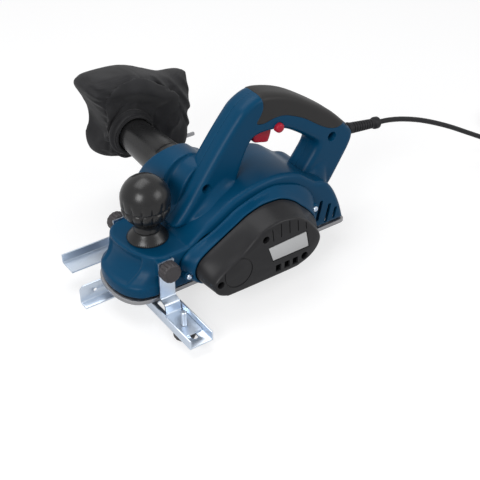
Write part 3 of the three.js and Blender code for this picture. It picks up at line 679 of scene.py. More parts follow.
def plainly_seen(tree):
    """1 where the camera looks straight or through glass, less in mirrored light, 0 for the rest."""
    path = node(tree, "ShaderNodeLightPath").outputs
    mirrored = maths(tree, "MULTIPLY", path["Is Glossy Ray"], MIRRORED)
    seen = maths(tree, "MAXIMUM", path["Is Camera Ray"], mirrored)
    return maths(tree, "MAXIMUM", seen, path["Is Transmission Ray"])


object_mode()
bpy.ops.object.select_all(action="DESELECT")
bpy.ops.mesh.primitive_plane_add(size=12, location=(0, 0, FLOOR_Z * MM - 0.0002))
floor = named("floor")
floor_material = bpy.data.materials.new("pale_floor")
floor_material.use_nodes = True
tree = floor_material.node_tree
tree.nodes.clear()
lift = maths(tree, "MULTIPLY", plainly_seen(tree), FLOOR_GLOW)
plain = node(tree, "ShaderNodeBsdfDiffuse", {"Color": (0.42, 0.42, 0.425, 1)})
glow = node(tree, "ShaderNodeEmission", {"Color": (1, 1, 1, 1), "Strength": lift})
both = node(tree, "ShaderNodeAddShader", {0: plain.outputs[0], 1: glow.outputs[0]})
node(tree, "ShaderNodeOutputMaterial", {"Surface": both.outputs[0]})
floor.data.materials.append(floor_material)

world = bpy.data.worlds.new("studio")
scene.world = world
world.use_nodes = True
tree = world.node_tree
tree.nodes.clear()
level = node(tree, "ShaderNodeMapRange", {"Value": plainly_seen(tree), "To Min": ROOM_LIGHT, "To Max": 1.0})
sky = node(tree, "ShaderNodeBackground", {"Color": (1, 1, 1, 1), "Strength": level.outputs["Result"]})
node(tree, "ShaderNodeOutputWorld", {"Surface": sky.outputs[0]})


def softbox(name, place, aim, size, power):
    data = bpy.data.lights.new(name, "AREA")
    data.shape = "RECTANGLE"
    data.size, data.size_y = size
    data.energy = power
    lamp = bpy.data.objects.new(name, data)
    scene.collection.objects.link(lamp)
    lamp.location = place
    lamp.rotation_euler = (Vector(aim) - Vector(place)).to_track_quat("-Z", "Y").to_euler()


softbox("overhead", (-0.1, 0.45, 1.5), (0, 0, 0.05), (1.3, 0.9), 9)
softbox("left", (-1.3, -0.7, 0.95), (0, 0, 0.05), (0.7, 0.7), 12.5)
softbox("right", (0.9, -1.2, 0.8), (0, 0, 0.05), (0.9, 0.7), 7)

# ---------------------------------------------------------------- cord, coil, plug, strain relief
CORD_R = 3.1
RELIEF = Vector((173, 0, 93.5))
PITCH = math.radians(8)
RELIEF_WAY = Vector((math.cos(PITCH), 0, -math.sin(PITCH)))
COIL = (520, 20)
COIL_OUTER = 45.6


def on_relief(s):
    return tuple(RELIEF + RELIEF_WAY * s)


def sample(points, count):
    """Even points on a smooth line through the given points."""
    line = []
    for i in range(len(points) - 1):
        a, b = Vector(points[i]), Vector(points[i + 1])
        before = Vector(points[i - 1]) if i else 2 * a - b
        after = Vector(points[i + 2]) if i + 2 < len(points) else 2 * b - a
        for k in range(12):
            line.append(between(before, a, b, after, k / 12))
    line.append(Vector(points[-1]))
    reach = [0.0]
    for a, b in zip(line, line[1:]):
        reach.append(reach[-1] + (b - a).length)
    even, k = [], 0
    for n in range(count):
        want = reach[-1] * n / (count - 1)
        while k + 2 < len(reach) and reach[k + 1] < want:
            k += 1
        share = (want - reach[k]) / (reach[k + 1] - reach[k])
        even.append(tuple(line[k].lerp(line[k + 1], share)))
    return even


coil_side = COIL[1] - COIL_OUTER
run = sample([
    on_relief(52.3), on_relief(70), (268, -0.5, 77), (300, -1.5, 65), (340, -4, 46), (380, -8, 24),
    (415, -13, 5), (448, -18, -11), (480, -23, -19), (505, coil_side, -20.8), (520, coil_side, -20.8),
], 36)


def coiled(turns, layers):
    """Turns beside each other from the outside in, then back out on the layer above."""
    points, per_turn = [], 28
    pitch = 2 * CORD_R * 1.03
    radii = [COIL_OUTER - pitch * k for k in range(turns)]
    z = FLOOR_Z + CORD_R + 0.1
    for layer in range(layers):
        ordered = radii if layer % 2 == 0 else radii[::-1]
        for n, radius in enumerate(ordered):
            last_turn = n + 1 == len(ordered)
            upto = radius if last_turn else ordered[n + 1]
            rise = pitch if last_turn and layer + 1 < layers else 0.0
            for k in range(per_turn):
                share = k / per_turn
                shift = max(0.0, (share - 0.7) / 0.3)
                shift = shift * shift * (3 - 2 * shift)
                r = radius + (upto - radius) * shift
                turn = -math.pi / 2 + 2 * math.pi * share
                points.append((COIL[0] + r * math.cos(turn), COIL[1] + r * math.sin(turn), z + rise * shift))
        z += pitch
    return points


wound = coiled(4, 2)
coil_y, coil_top = COIL[1] - COIL_OUTER, wound[-1][2]
lead_in = sample([run[-7], (470, coil_y + 3.5, -18), (498, coil_y + 0.3, wound[0][2]), wound[0]], 9)
tail = sample([
    wound[-1], (COIL[0], coil_y, coil_top), (COIL[0] + 14, coil_y, coil_top), (COIL[0] + 32, coil_y, -15),
], 6)
cord_line = run[:-7] + lead_in[:-1] + wound + tail[1:]
cord_line = [Vector(p) for p in cord_line]


def make_cord():
    data = bpy.data.curves.new("mains_cord", "CURVE")
    data.dimensions = "3D"
    line = data.splines.new("POLY")
    line.points.add(len(cord_line) - 1)
    for point, co in zip(line.points, cord_line):
        point.co = (co.x * MM, co.y * MM, co.z * MM, 1)
    data.bevel_depth = CORD_R * MM
    data.bevel_resolution = 3
    data.use_fill_caps = True
    data.materials.append(MAT["soft_rubber"])
    piece = bpy.data.objects.new("mains_cord", data)
    scene.collection.objects.link(piece)
    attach(piece, "housing")
    return piece


mains_cord = make_cord()


def make_relief():
    profile = [(0, -12), (6.3, -12), (6.3, 2), (7.4, 3), (7.4, 5.5), (6.6, 6.5)]
    for k in range(9):
        s = 8 + 3.9 * k
        r = 6.6 - 0.11 * k
        profile += [(r, s), (r, s + 2.4), (r - 0.9, s + 2.8), (r - 0.9, s + 3.5)]
    profile += [(5.6, 44), (7.0, 45), (7.2, 46), (7.2, 50), (6.6, 51.4), (5.0, 52), (3.3, 52), (0, 52)]
    piece = spun("strain_relief_sleeve", profile, tuple(RELIEF), tuple(RELIEF_WAY), 40)
    return dress(piece, "soft_rubber", "housing", ["strain_relief"], 30)


make_relief()


def make_plug():
    x, y, z = COIL[0] + 27, coil_y, -15.0
    rings = []
    for along, half_y, half_z in [
        (14, 5, 5), (16, 7, 6), (20, 11.2, 7.4), (25, 12.9, 8.6), (30, 12.9, 8.8), (36, 11.6, 8.4),
        (42, 11.6, 8.4), (49, 12.9, 8.8), (51, 12.9, 8.8), (52, 12, 8),
    ]:
        corner = [(half_y, 0), (half_y * 0.96, half_z * 0.6), (half_y * 0.7, half_z), (0, half_z)]
        ring = corner + [(-a, b) for a, b in corner[-2::-1]]
        ring += [(-a, -b) for a, b in corner[1:]] + [(a, -b) for a, b in corner[-2:0:-1]]
        rings.append([(x + along, y + a, z + b) for a, b in curve(ring, 3)])
    body = skin("plug_body", rings)
    sleeve = [(0, 0), (3.4, 0), (4.4, 0.6), (4.4, 2.2)]
    for k in range(4):
        sleeve += [(3.6, 2.6 + 3 * k), (3.6, 3.8 + 3 * k), (4.4, 4.2 + 3 * k), (4.4, 5.2 + 3 * k)]
    sleeve += [(4.4, 17), (0, 17)]
    tail_end = spun("plug_tail", sleeve, (x, y, z), "x", 28)
    return merge("mains_plug", body, tail_end)


plug_piece = make_plug()
pins = []
for side in (-9.5, 9.5):
    at = (COIL[0] + 27, coil_y + side, -15)
    pins.append(spun("plug_pin", [(0, 51), (2.4, 51), (2.4, 69), (1.9, 70.4), (0, 71)], at, "x", 24))
plug_pins = merge("plug_pins", *pins)
dress(plug_piece, "soft_rubber", "housing", ["plug"], 40)
dress(plug_pins, "steel", "housing", angle=40)


def make_tie():
    bpy.ops.object.select_all(action="DESELECT")
    bpy.ops.mesh.primitive_torus_add(
        major_segments=40, minor_segments=8, major_radius=16 * MM, minor_radius=1.1 * MM,
        location=mm(COIL[0] + 36, COIL[1] + 2, -17.7), rotation=(math.radians(90), 0, 0),
    )
    piece = named("cord_tie")
    edit(piece)
    bpy.ops.transform.resize(value=(1, 1, 0.36))
    object_mode()
    return dress(settle(piece), "soft_rubber", "housing", angle=60)


tie = make_tie()
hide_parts("cord", "cord_coil")

# ---------------------------------------------------------------- main housing
DRUM_AT = (-36, 0, 28.5)
MOTOR_AT = (40, 0, 44)
CHUTE_AT = (-30, 0, 92)
CHUTE_R = 29
CHUTE_Y = 64
CHUTE_SLOPE = 0.76
KNOB_X = -91.5
NEAR, FAR = -41.5, 45.0
BODY = [
    (-70, 7.4, 0), (-70, 49, 0), (-66, 51), (-58, 57), (-44, 67), (-28, 76), (-10, 86), (12, 93), (36, 96),
    (58, 94), (78, 87), (92, 76.5), (102, 69), (112, 65.5), (121, 59), (130, 46), (138, 28), (143, 12),
    (144.5, 5.3, 0), (-53, 5.3, 0), (-53, 7.4, 0),
]
FOOT = [
    (-58, -41.5, 0), (-98, -41.5), (-112, -40.8), (-124, -36.6), (-133, -26), (-137.5, -13), (-138.8, 0),
    (-137.5, 13), (-133, 27), (-124, 38), (-111, 43.6), (-96, 45), (-58, 45, 0),
]
DECK = [
    (-58, -41.5, 0), (-86, -41.5), (-98, -40.4), (-107.5, -34), (-114, -23.5), (-118.8, -11), (-121.4, 1),
    (-122.8, 14), (-121.8, 27), (-116, 38), (-106, 43.8), (-92, 45), (-58, 45, 0),
]


def ease(value, start, end):
    share = min(1.0, max(0.0, (value - start) / (end - start)))
    return share * share * (3 - 2 * share)


def panel_depth(x, y, z):
    """The sunk panel in the front wall of the nose, between two upright ridges."""
    if x > -100:
        return 0.0
    inside = ease(26.4 - abs(y - 1), 0, 2.2)
    ridge = math.exp(-((abs(y - 1) - 28.4) / 2.2) ** 2)
    height = ease(z, 20.0, 21.4) * (1 - ease(z, 43, 47.4))
    return (2.3 * inside - 1.3 * ridge) * height


def make_nose():
    levels = [
        (7.4, 0.0, 2.4), (12, 0.0, 2.6), (17, 0.0, 2.3), (19.2, 0.01, 1.8), (20.2, 0.03, 1.0),
        (21.2, 0.07, -0.4), (24, 0.2, -1.4), (27, 0.42, -1.4), (30.5, 0.66, -0.9), (34, 0.84, -0.3),
        (38, 0.95, 0), (42, 0.99, 0), (45.6, 1.0, 0), (47.6, 1.0, 0), (49.5, 1.0, -0.7), (50.4, 1.0, -2.2),
    ]
    rings = []
    for z, share, inward in levels:
        ring = curve(offset(blend(FOOT, DECK, share), inward), 14)
        rings.append([(x + panel_depth(x, y, z), y, z) for x, y in ring])
    return skin("nose", rings)


def rounded_body(name, outline):
    """A side outline drawn out between the near and far walls, its edges rounded."""
    steps, drop = (0, 0.8, 2.4, 4.5), (4.5, 2.4, 0.9, 0)
    near = [(NEAR + s, -d) for s, d in zip(steps, drop)]
    far = [(FAR - s, -d) for s, d in zip(reversed(steps), reversed(drop))]
    rings = []
    for y, inward in near + far:
        ring = [(x, max(z, 5.3)) + tuple(rest) for x, z, *rest in offset(outline, inward)]
        rings.append(place_side(curve(ring, 5), y))
    return skin(name, rings)


def make_chute():
    piece = round_bar("chute", (CHUTE_AT[0], 56, CHUTE_AT[2]), "y", CHUTE_R, 90, 72)
    cut_off(piece, (0, CHUTE_Y, 92), (0, 1, CHUTE_SLOPE))
    return cut_off(piece, (0, 18, 0), (0, -1, 0))


def make_ramp():
    """The slope that carries the front of the chute down to the deck."""
    high = [
        (-76, 48, 0), (-70, 55), (-64.5, 68), (-60.5, 82), (-59, 92), (-56, 104.5), (-48, 114.5),
        (-38, 119.8), (-27, 120.8), (-14, 116.5), (-2, 105), (12, 94, 0), (16, 60, 0), (-40, 44, 0),
    ]
    low = [
        (-70, 48, 0), (-65, 53), (-59, 62), (-52, 73), (-46, 83), (-40, 91), (-33, 100), (-26, 108),
        (-18, 113), (-9, 112), (2, 104), (12, 94, 0), (16, 60, 0), (-40, 44, 0),
    ]
    rows = [
        (1, 0.3), (5, 0.38), (12, 0.53), (19, 0.7), (28, 0.84), (38, 0.94), (50, 0.99), (64, 1.0),
        (110, 1.0),
    ]
    piece = skin("ramp", [place_side(curve(blend(low, high, share), 4), y) for y, share in rows])
    cut_off(piece, (0, CHUTE_Y - 1.2, 92), (0, 1, CHUTE_SLOPE))
    return cut_off(piece, (0, 44.5, 50), (0, 1, -1.15))


def make_motor_end():
    profile = [(0, 0), (38.5, 0), (38.5, 47), (37.6, 50), (35.5, 51.6), (33, 52), (0, 52)]
    return spun("motor_end", profile, MOTOR_AT, "y", 72)


def make_main_housing():
    nose = make_nose()
    hull = rounded_body("hull", BODY)
    root = prism("chute_root", [(-48, 55), (-44, 80), (-28, 92), (-1, 92), (14, 88), (14, 60)], 18, 45)
    boss = spun("drum_boss", [(0, 40), (15, 40), (15, 49), (14, 50), (0, 50)], DRUM_AT, "y", 48)
    pads = [
        brick("pad_near", (-106, -46, 30), (-90, -38, 49)),
        brick("pad_far", (-106, 40, 30), (-90, 46, 49)),
    ]
    whole = merge("body_shell", nose, hull, root, make_chute(), make_ramp(), make_motor_end(), boss, *pads)
    melt(whole, 1.3, 3)
    tools = [
        spun("drum_room", [(0, -46), (31.5, -46), (31.5, 41.3), (0, 41.3)], DRUM_AT, "y", 64),
        spun("chute_bore", [(0, 20.5), (25, 20.5), (25, 120), (0, 120)], CHUTE_AT, "y", 64),
        spun("motor_room", [(0, -46), (31.8, -46), (31.8, 46), (0, 46)], MOTOR_AT, "y", 64),
    ]
    boolean(whole, tools)
    boolean(whole, [brick("drum_mouth", (-53, -46, 0), (-14, 41.3, 24))])
    boolean(whole, [prism("chip_room", [(-52, 46), (-50, 60), (-34, 69), (-12, 80), (-12, 46)], -30, 40)])
    hood = [(82, 3), (82, 60), (100, 61), (114, 59), (125, 45), (133, 27), (138, 12), (139, 3)]
    boolean(whole, [prism("rear_room", hood, NEAR + 3, FAR - 3)])
    slots = []
    for x, z, long, wide in ((107, 28.5, 27, 4.6), (119.5, 21.5, 25, 4.6), (129.8, 18.5, 15, 4.2)):
        slot = brick("slot", (x - wide / 2, NEAR - 6, z - long / 2), (x + wide / 2, NEAR + 8, z + long / 2))
        slots.append(bevel(turn_about(slot, math.radians(-13), (x, NEAR, z)), 1.9, 3))
    boolean(whole, [merge("slots", *slots)])
    lattice = []
    for k in range(9):
        turn = 2 * math.pi * k / 9
        x, z = MOTOR_AT[0] + 23 * math.cos(turn), MOTOR_AT[2] + 23 * math.sin(turn)
        hole = brick("far_vent", (x - 7, 44, z - 1.9), (x + 7, 56, z + 1.9))
        lattice.append(bevel(turn_about(hole, -turn, (x, 50, z)), 1.4, 2))
    boolean(whole, [merge("lattice", *lattice)])
    only(whole)
    return dress(named("main_body"), "blue_housing", "housing", ["main_housing"], 50)


make_main_housing()

# ---------------------------------------------------------------- drive end rim and belt cover
RIM = [
    (-48, 7.6), (-62, 8.6), (-72, 13.6), (-77.4, 23), (-78, 36), (-68, 48), (-41, 59.5), (-25, 68),
    (-9, 77), (10, 83.5), (27, 87.5), (42, 88), (57, 84), (74, 77), (88, 65), (95, 51), (96.4, 37),
    (93.5, 21), (85.5, 11.5), (72, 7.6),
]
SEAM = [
    (-40, 9), (-54, 11), (-64, 16.5), (-68.4, 25), (-67.6, 35), (-60, 45), (-36, 59), (-14, 71), (-4, 76),
    (12, 80.5), (26, 81), (40, 79), (55, 71), (66, 61), (77, 50), (85.4, 38), (85.6, 28), (80, 18),
    (68, 11.2), (52, 9),
]
FACE = [
    (-38, 6.5), (-49, 7.9), (-57.5, 12.6), (-62, 20.6), (-60, 29), (-46, 40), (-27, 51), (-11, 64), (1, 71),
    (17, 74), (30, 73), (43, 68.5), (57, 58), (66, 47), (72, 37), (72.6, 29), (68.4, 20.6), (60, 13.2),
    (48, 8.4), (34, 6.5),
]
FACE_Y = -86.0
MARK_AT = (DRUM_AT[0] + 1.5, DRUM_AT[1], DRUM_AT[2] + 3)
COVER_SCREWS = [(0, 59), (-56.5, 25)]
RIM_SCREWS = [(-74, 23), (91.5, 44)]
LABEL = [(4, 46), (53, 48), (57, 28), (10, 28)]
PANEL_LINES = [(8, 69, 10, 53), (19, 72, 20, 55), (30, 71.5, 31, 55.5), (41, 67.5, 42, 54), (52, 61, 53, 52)]


def side_rings(table):
    return [place_side(curve(points, 5), y) for y, points in table]


def make_rim():
    rings = side_rings([
        (-41.9, offset(RIM, -1.0)), (-42.3, offset(RIM, -0.2)), (-43, RIM), (-44.4, RIM),
        (-45.4, offset(RIM, -0.4)), (-46.4, offset(RIM, -1.2)),
        (-50, blend(offset(RIM, -1.2), offset(SEAM, 3.0), 0.3)),
        (-54, blend(offset(RIM, -1.2), offset(SEAM, 3.0), 0.68)), (-57, offset(SEAM, 2.9)),
        (-57.8, offset(SEAM, 2.3)), (-58, offset(SEAM, 1.6)), (-57.8, offset(SEAM, 0.9)),
        (-57, offset(SEAM, 0.5)), (-46, offset(SEAM, -1)),
    ])
    piece = skin("drive_end_rim", rings)
    for x, z in RIM_SCREWS:
        ear = spun("ear", [(0, -52), (4.6, -52), (5.2, -51.3), (5.2, -43), (0, -43)], (x, 0, z), "y", 32)
        boolean(piece, [ear], "UNION")
        boolean(piece, [round_bar("seat", (x, -58, z), "y", 3.9, 12)])
    only(piece)
    return dress(piece, "blue_housing", "housing", ["drive_end_housing"], 40)


make_rim()


def make_cover():
    near = offset(FACE, 1.2)
    rings = side_rings([
        (-58.3, offset(SEAM, -0.6)), (-58.6, SEAM), (-60, SEAM), (-64, blend(SEAM, near, 0.12)),
        (-70, blend(SEAM, near, 0.42)), (-76, blend(SEAM, near, 0.72)), (-81, blend(SEAM, near, 0.95)),
        (-83.4, near), (-84.8, offset(FACE, 0.5)), (-85.6, offset(FACE, -0.4)),
        (FACE_Y, offset(FACE, -1.6)),
    ])
    piece = skin("belt_guard", rings)
    hollow = side_rings([
        (-57, offset(SEAM, -2.6)), (-78, offset(blend(SEAM, near, 0.85), -2.6)), (-83.4, offset(FACE, -3)),
    ])
    boolean(piece, [skin("hollow", hollow)])
    for x, z in COVER_SCREWS:
        boolean(piece, [round_bar("post", (x, -72, z), "y", 5.6, 26)], "UNION")
        boolean(piece, [round_bar("bore", (x, -86, z), "y", 4.2, 16)])
    boolean(piece, [prism("window", offset(LABEL, 1.0), -90, FACE_Y + 1.2)])
    slots = []
    for x in (17, 28.5, 39.5):
        slots.append(bevel(brick("vent", (x - 3.6, -92, 11.4), (x + 3.6, -70, 20.2)), 1.2, 3))
    slots.append(round_bar("round_vent", (52, -82, 17.2), "y", 4.5, 24))
    boolean(piece, [merge("vents", *slots)])
    grooves = []
    for x0, z0, x1, z1 in PANEL_LINES:
        mid = ((x0 + x1) / 2, (z0 + z1) / 2)
        long = math.hypot(x1 - x0, z1 - z0)
        low = (mid[0] - 0.55, FACE_Y - 2, mid[1] - long / 2)
        high = (mid[0] + 0.55, FACE_Y + 0.9, mid[1] + long / 2)
        lean = math.atan2(x1 - x0, z1 - z0)
        grooves.append(turn_about(brick("groove", low, high), -lean, (mid[0], FACE_Y, mid[1])))
    boolean(piece, [merge("grooves", *grooves)])
    ring = [(16.4, -88), (17.6, -88), (17.6, FACE_Y + 0.7), (16.4, FACE_Y + 0.7), (16.4, -88)]
    boolean(piece, [spun("mark", ring, MARK_AT, "y", 64)])
    return dress(piece, "black_plastic", "housing", ["belt_cover"], 30)


make_cover()


def make_label():
    piece = prism("rating_plate", LABEL, FACE_Y + 0.15, FACE_Y + 0.95)
    bevel(piece, 0.25, 2)
    return dress(piece, "label", "housing", ["label_plate"])


make_label()


def make_screw(name, x, z, slot, stands_for, material, head_y, radius, depth):
    """A pan head with a cross recess, seen from -Y."""
    head = spun(name, [
        (0, head_y), (radius * 0.55, head_y + 0.05), (radius * 0.86, head_y + 0.4), (radius, head_y + 1.1),
        (radius, head_y + 1.9), (radius * 0.5, head_y + 1.95), (radius * 0.5, head_y + depth),
        (0, head_y + depth),
    ], (x, 0, z), "y", 32)
    half, wide = radius * 0.58, radius * 0.15
    for arm in ((half, wide), (wide, half)):
        cross = brick("cross", (x - arm[0], head_y - 1, z - arm[1]), (x + arm[0], head_y + 1.0, z + arm[1]))
        boolean(head, [turn_about(cross, 0.5, (x, head_y, z))])
    return dress(head, slot, "housing", [stands_for], 30, material)


# The sunk cover screws take the dark metal that paints the shade of their holes.
for n, (x, z) in enumerate(COVER_SCREWS):
    make_screw(
        f"cover_screw_head_{n + 1}", x, z, "steel", f"cover_screw_{n + 1}", HOLE_SHADE_SCREW,
        head_y=FACE_Y + 6.2, radius=3.4, depth=20,
    )
for n, (x, z) in enumerate(RIM_SCREWS):
    make_screw(
        f"rim_screw_head_{n + 1}", x, z, "bright_zinc", f"rim_screw_{n + 1}", None,
        head_y=-54.4, radius=3.2, depth=12,
    )

# ---------------------------------------------------------------- handle, grip, switch
ARCH = [
    (-66, 56), (-47, 85), (-13, 132), (12, 163), (24, 174), (42, 181), (61, 178.5), (85, 169.5), (112, 153),
    (141, 132), (160, 114), (171, 102), (173, 94), (169, 82), (157, 62), (147, 46), (140, 36, 0),
    (100, 52, 0), (99, 64), (106, 75), (118, 92), (119, 101), (108, 110.5), (92, 122), (76, 131),
    (56, 135.5), (38, 135), (30, 129), (22, 113), (12, 86), (9, 72),
]
GRIP = [
    (39, 195, 0), (44, 172), (42, 162), (36, 152), (46, 149), (60, 151.5), (72, 150.5), (82, 147),
    (100, 138), (119, 124.5), (134, 115.5), (147, 112), (158, 114), (166, 107), (185, 120, 0),
    (160, 155, 0), (120, 180, 0), (85, 195, 0),
]
HANDLE_SCREWS = [(-27, 95), (140, 103)]
HANDLE_HALF = 17


def ovals(name, centre, up, along, rows):
    """Rounded rings stacked along a slanted line. Each row is (height, half length, half width)."""
    up, along, across = Vector(up).normalized(), Vector(along).normalized(), Vector((0, 1, 0))
    rings, sides = [], 44
    for height, long, wide in rows:
        ring = []
        for k in range(sides):
            turn = 2 * math.pi * k / sides
            c, s = math.cos(turn), math.sin(turn)
            c, s = math.copysign(abs(c) ** 0.8, c), math.copysign(abs(s) ** 0.8, s)
            ring.append(tuple(Vector(centre) + up * height + along * long * c + across * wide * s))
        rings.append(ring)
    return skin(name, rings)


def arch_solid(name, grow=0.0):
    rows = [(-HANDLE_HALF, -6), (-16.2, -3.9), (-14.4, -2.0), (-11.5, -0.7), (-8, 0)]
    rows += [(-y, inward) for y, inward in rows[::-1]]
    return skin(name, [
        place_side(curve(offset(ARCH, inward + grow), 4), y + math.copysign(grow, y)) for y, inward in rows
    ])


def make_handle():
    front = ovals("front_foot", (-20, 0, 78), (0.45, 0, 0.89), (0.91, 0, 0.42), [
        (-12, 38, 28.5), (-0.5, 37, 28), (1.6, 36.5, 27.6), (2.6, 34.6, 25.8), (6, 32, 22.8),
        (12, 29, 19.6), (22, 26, 17), (34, 21, 14),
    ])
    rear = ovals("rear_foot", (121, 0, 58), (0.48, 0, 0.87), (0.87, 0, -0.48), [
        (-12, 25, 26), (-4, 23, 24), (2, 21, 21), (8, 19, 18.8), (17, 17, 17), (30, 14, 14),
    ])
    whole = merge("handle", arch_solid("arch"), front, rear)
    melt(whole, 1.25, 6)
    boolean(whole, [prism("under_grip", curve(offset(GRIP, -0.3), 4), -40, 40)])
    boolean(whole, [brick("trigger_room", (39.6, -6.6, 110), (66.9, 6.6, 150))])
    boolean(whole, [round_bar("button_room", (65, -20, 139), "y", 6.0, 24)])
    for x, z in HANDLE_SCREWS:
        room = [(0, -22), (6.4, -22), (5.6, -15.4), (4.8, -14), (4.8, -4), (0, -4)]
        boolean(whole, [spun("screw_room", room, (x, 0, z), "y", 32)])
    boolean(whole, [round_bar("relief_room", tuple(RELIEF - RELIEF_WAY * 2), tuple(RELIEF_WAY), 7.8, 24)])
    return whole


def half_of(whole, name, side):
    piece = twin(whole, name)
    cut_off(piece, (0, 0.18 * side, 0), (0, -side, 0))
    bevel(piece, 0.45, 2, 50)
    return dress(piece, "blue_housing", "housing", [name.replace("shell", "handle")], 50)


handle = make_handle()
half_of(handle, "shell_near", -1)
half_of(handle, "shell_far", 1)
bpy.data.objects.remove(handle, do_unlink=True)


def make_grip():
    piece = arch_solid("handle_grip", 0.35)
    boolean(piece, [prism("grip_zone", curve(GRIP, 4), -40, 40)], "INTERSECT")
    melt(piece, 1.1, 3)
    return dress(piece, "grip_rubber", "housing", ["grip_overmould"], 50)


make_grip()


def make_trigger():
    outline = [
        (41, 141, 0), (40.4, 126), (42.6, 121.8), (50, 119.6), (58, 117.6), (60.6, 119.6), (63.4, 128),
        (64.8, 138.5, 0),
    ]
    rows = [(-6, -1.6), (-5.6, -0.7), (-4.8, -0.15), (-4, 0), (4, 0), (4.8, -0.15), (5.6, -0.7), (6, -1.6)]
    piece = skin("switch_trigger", [place_side(curve(offset(outline, d), 5), y) for y, d in rows])
    ribs = [
        brick("rib", (44.5 + 3.6 * k, -4, 116), (45.3 + 3.6 * k, 4, 121.6 - 1.05 * k)) for k in range(4)
    ]
    boolean(piece, [merge("ribs", *ribs)])
    return dress(piece, "red_plastic", "trigger", ["trigger"], 40)


make_trigger()
lock = spun("lock_on_button", [
    (0, -21.4), (2.8, -21.3), (4.4, -20.8), (5.2, -19.9), (5.5, -18.6), (5.5, -15.3), (4.6, -14.9),
    (4.6, -12.8), (0, -12.8),
], (65, 0, 139), "y", 40)
dress(lock, "red_plastic", "lock_button", ["lock_button"], 40)
# The sunk handle screws take the dark metal that paints the shade of their holes.
for n, (x, z) in enumerate(HANDLE_SCREWS):
    make_screw(
        f"handle_screw_head_{n + 1}", x, z, "steel", f"handle_screw_{n + 1}", HOLE_SHADE_SCREW,
        head_y=-4.6, radius=4.2, depth=20,
    )


# ---------------------------------------------------------------- soles
def cut_grooves(piece, x0, x1):
    """Four shallow grooves along the underside."""
    grooves = [brick("groove", (x0, y - 0.7, -1), (x1, y + 0.7, 0.45)) for y in (-31.5, -10.5, 10.5, 31.5)]
    boolean(piece, [merge("grooves", *grooves)])


def make_rear_sole():
    outline = [
        (-14, -42), (141, -42), (144.5, -40.5), (146, -37), (146, 37), (144.5, 40.5), (141, 42), (-14, 42),
    ]
    piece = slab("rear_sole_plate", outline, 0, 5)
    bevel(piece, 0.5, 2)
    frame_wall = brick("wall", (86, -35, 4.5), (134, 38, 15))
    boolean(frame_wall, [brick("inside", (89, -32, 4), (131, 35, 16))])
    boolean(piece, [frame_wall], "UNION")
    cut_grooves(piece, -20, 150)
    return dress(piece, "sole_alloy", "housing", ["rear_sole"], 30)


def make_front_shoe():
    half = [
        (-54, 42, 0), (-98, 42, 0), (-112, 43.4), (-127.6, 38.8), (-136.6, 28.8), (-141.4, 15), (-142.8, 0),
    ]
    outline = half + [(x, -y) + tuple(rest) for x, y, *rest in half[-2::-1]]
    piece = slab("front_shoe_plate", curve(outline, 6), 0, 5)
    bevel(piece, 0.6, 2)
    boss = round_bar("boss", (KNOB_X, 0, 17.3), "z", 10, 25.4, 48)
    boolean(piece, [boss], "UNION")
    boolean(piece, [round_bar("bore", (KNOB_X, 0, 20), "z", 4.3, 24, 32)])
    cut_grooves(piece, -150, -50)
    return dress(piece, "sole_alloy", "front_shoe", ["front_shoe"], 30)


make_rear_sole()
make_front_shoe()


# ---------------------------------------------------------------- depth knob and dial
def lobed(name, centre, axis, rows, lobes, per_lobe=8):
    """Rings about an axis with narrow grooves round them. Each row is (radius, groove depth, place)."""
    along = Vector(WAY[axis])
    first = Vector((0, 0, 1)) if axis != "z" else Vector((1, 0, 0))
    second = along.cross(first)
    rings = []
    for radius, depth, place in rows:
        ring = []
        for k in range(lobes * per_lobe):
            turn = 2 * math.pi * k / (lobes * per_lobe)
            valley = (1 - abs(math.sin(lobes * turn / 2))) ** 2
            r = radius - depth * valley
            out = first * math.cos(turn) + second * math.sin(turn)
            ring.append(tuple(Vector(centre) + along * place + out * r))
        rings.append(ring)
    return skin(name, rings)


def make_knob():
    piece = lobed("depth_knob_ball", (KNOB_X, 0, 0), "z", [
        (13.6, 0, 62.4), (14.4, 0, 62.8), (14.4, 0, 64.2), (13.7, 0, 66), (13.6, 0, 68), (14.2, 0, 70.4),
        (15.8, 0.1, 72.8), (18.4, 0.5, 75.2), (21.0, 1.1, 77.6), (23.0, 1.6, 80.0), (24.4, 1.9, 82.6),
        (25.4, 2.0, 85.2), (25.9, 2.0, 87.6), (26.1, 1.9, 89.6), (25.9, 1.6, 90.6), (25.0, 0.9, 91.4),
        (24.9, 0.8, 92.2), (25.9, 1.7, 92.9), (26.3, 2.0, 94.2), (26.45, 1.8, 96.6), (26.5, 1.4, 99),
        (26.4, 0.9, 101.2), (26.2, 0.4, 103.2), (25.9, 0.1, 105), (25.2, 0, 107.4), (23.7, 0, 111),
        (21.6, 0, 114.6), (18.7, 0, 118), (15.2, 0, 120.8), (11, 0, 123.2), (6.5, 0, 124.8),
        (2.4, 0, 125.45),
    ], 14, 10)
    return dress(piece, "black_plastic", "depth_knob", ["depth_knob"], 60, KNOB_BLACK)


def make_dial():
    piece = lobed("depth_scale_dial", (KNOB_X, 0, 0), "z", [
        (4.5, 0, 50.9), (21.4, 0, 50.9), (22.2, 0.5, 51.2), (22.4, 0.6, 51.8), (22.2, 0.5, 52.6),
        (21.6, 0, 53.4), (20.3, 0, 55.2), (18.6, 0, 57.2), (17.0, 0, 58.9), (15.6, 0, 60.5),
        (14.7, 0, 61.6), (14.2, 0, 62), (4.5, 0, 62),
    ], 60, 4)
    return dress(piece, "black_plastic", "depth_knob", ["depth_dial"], 50, KNOB_BLACK)


make_knob()
make_dial()


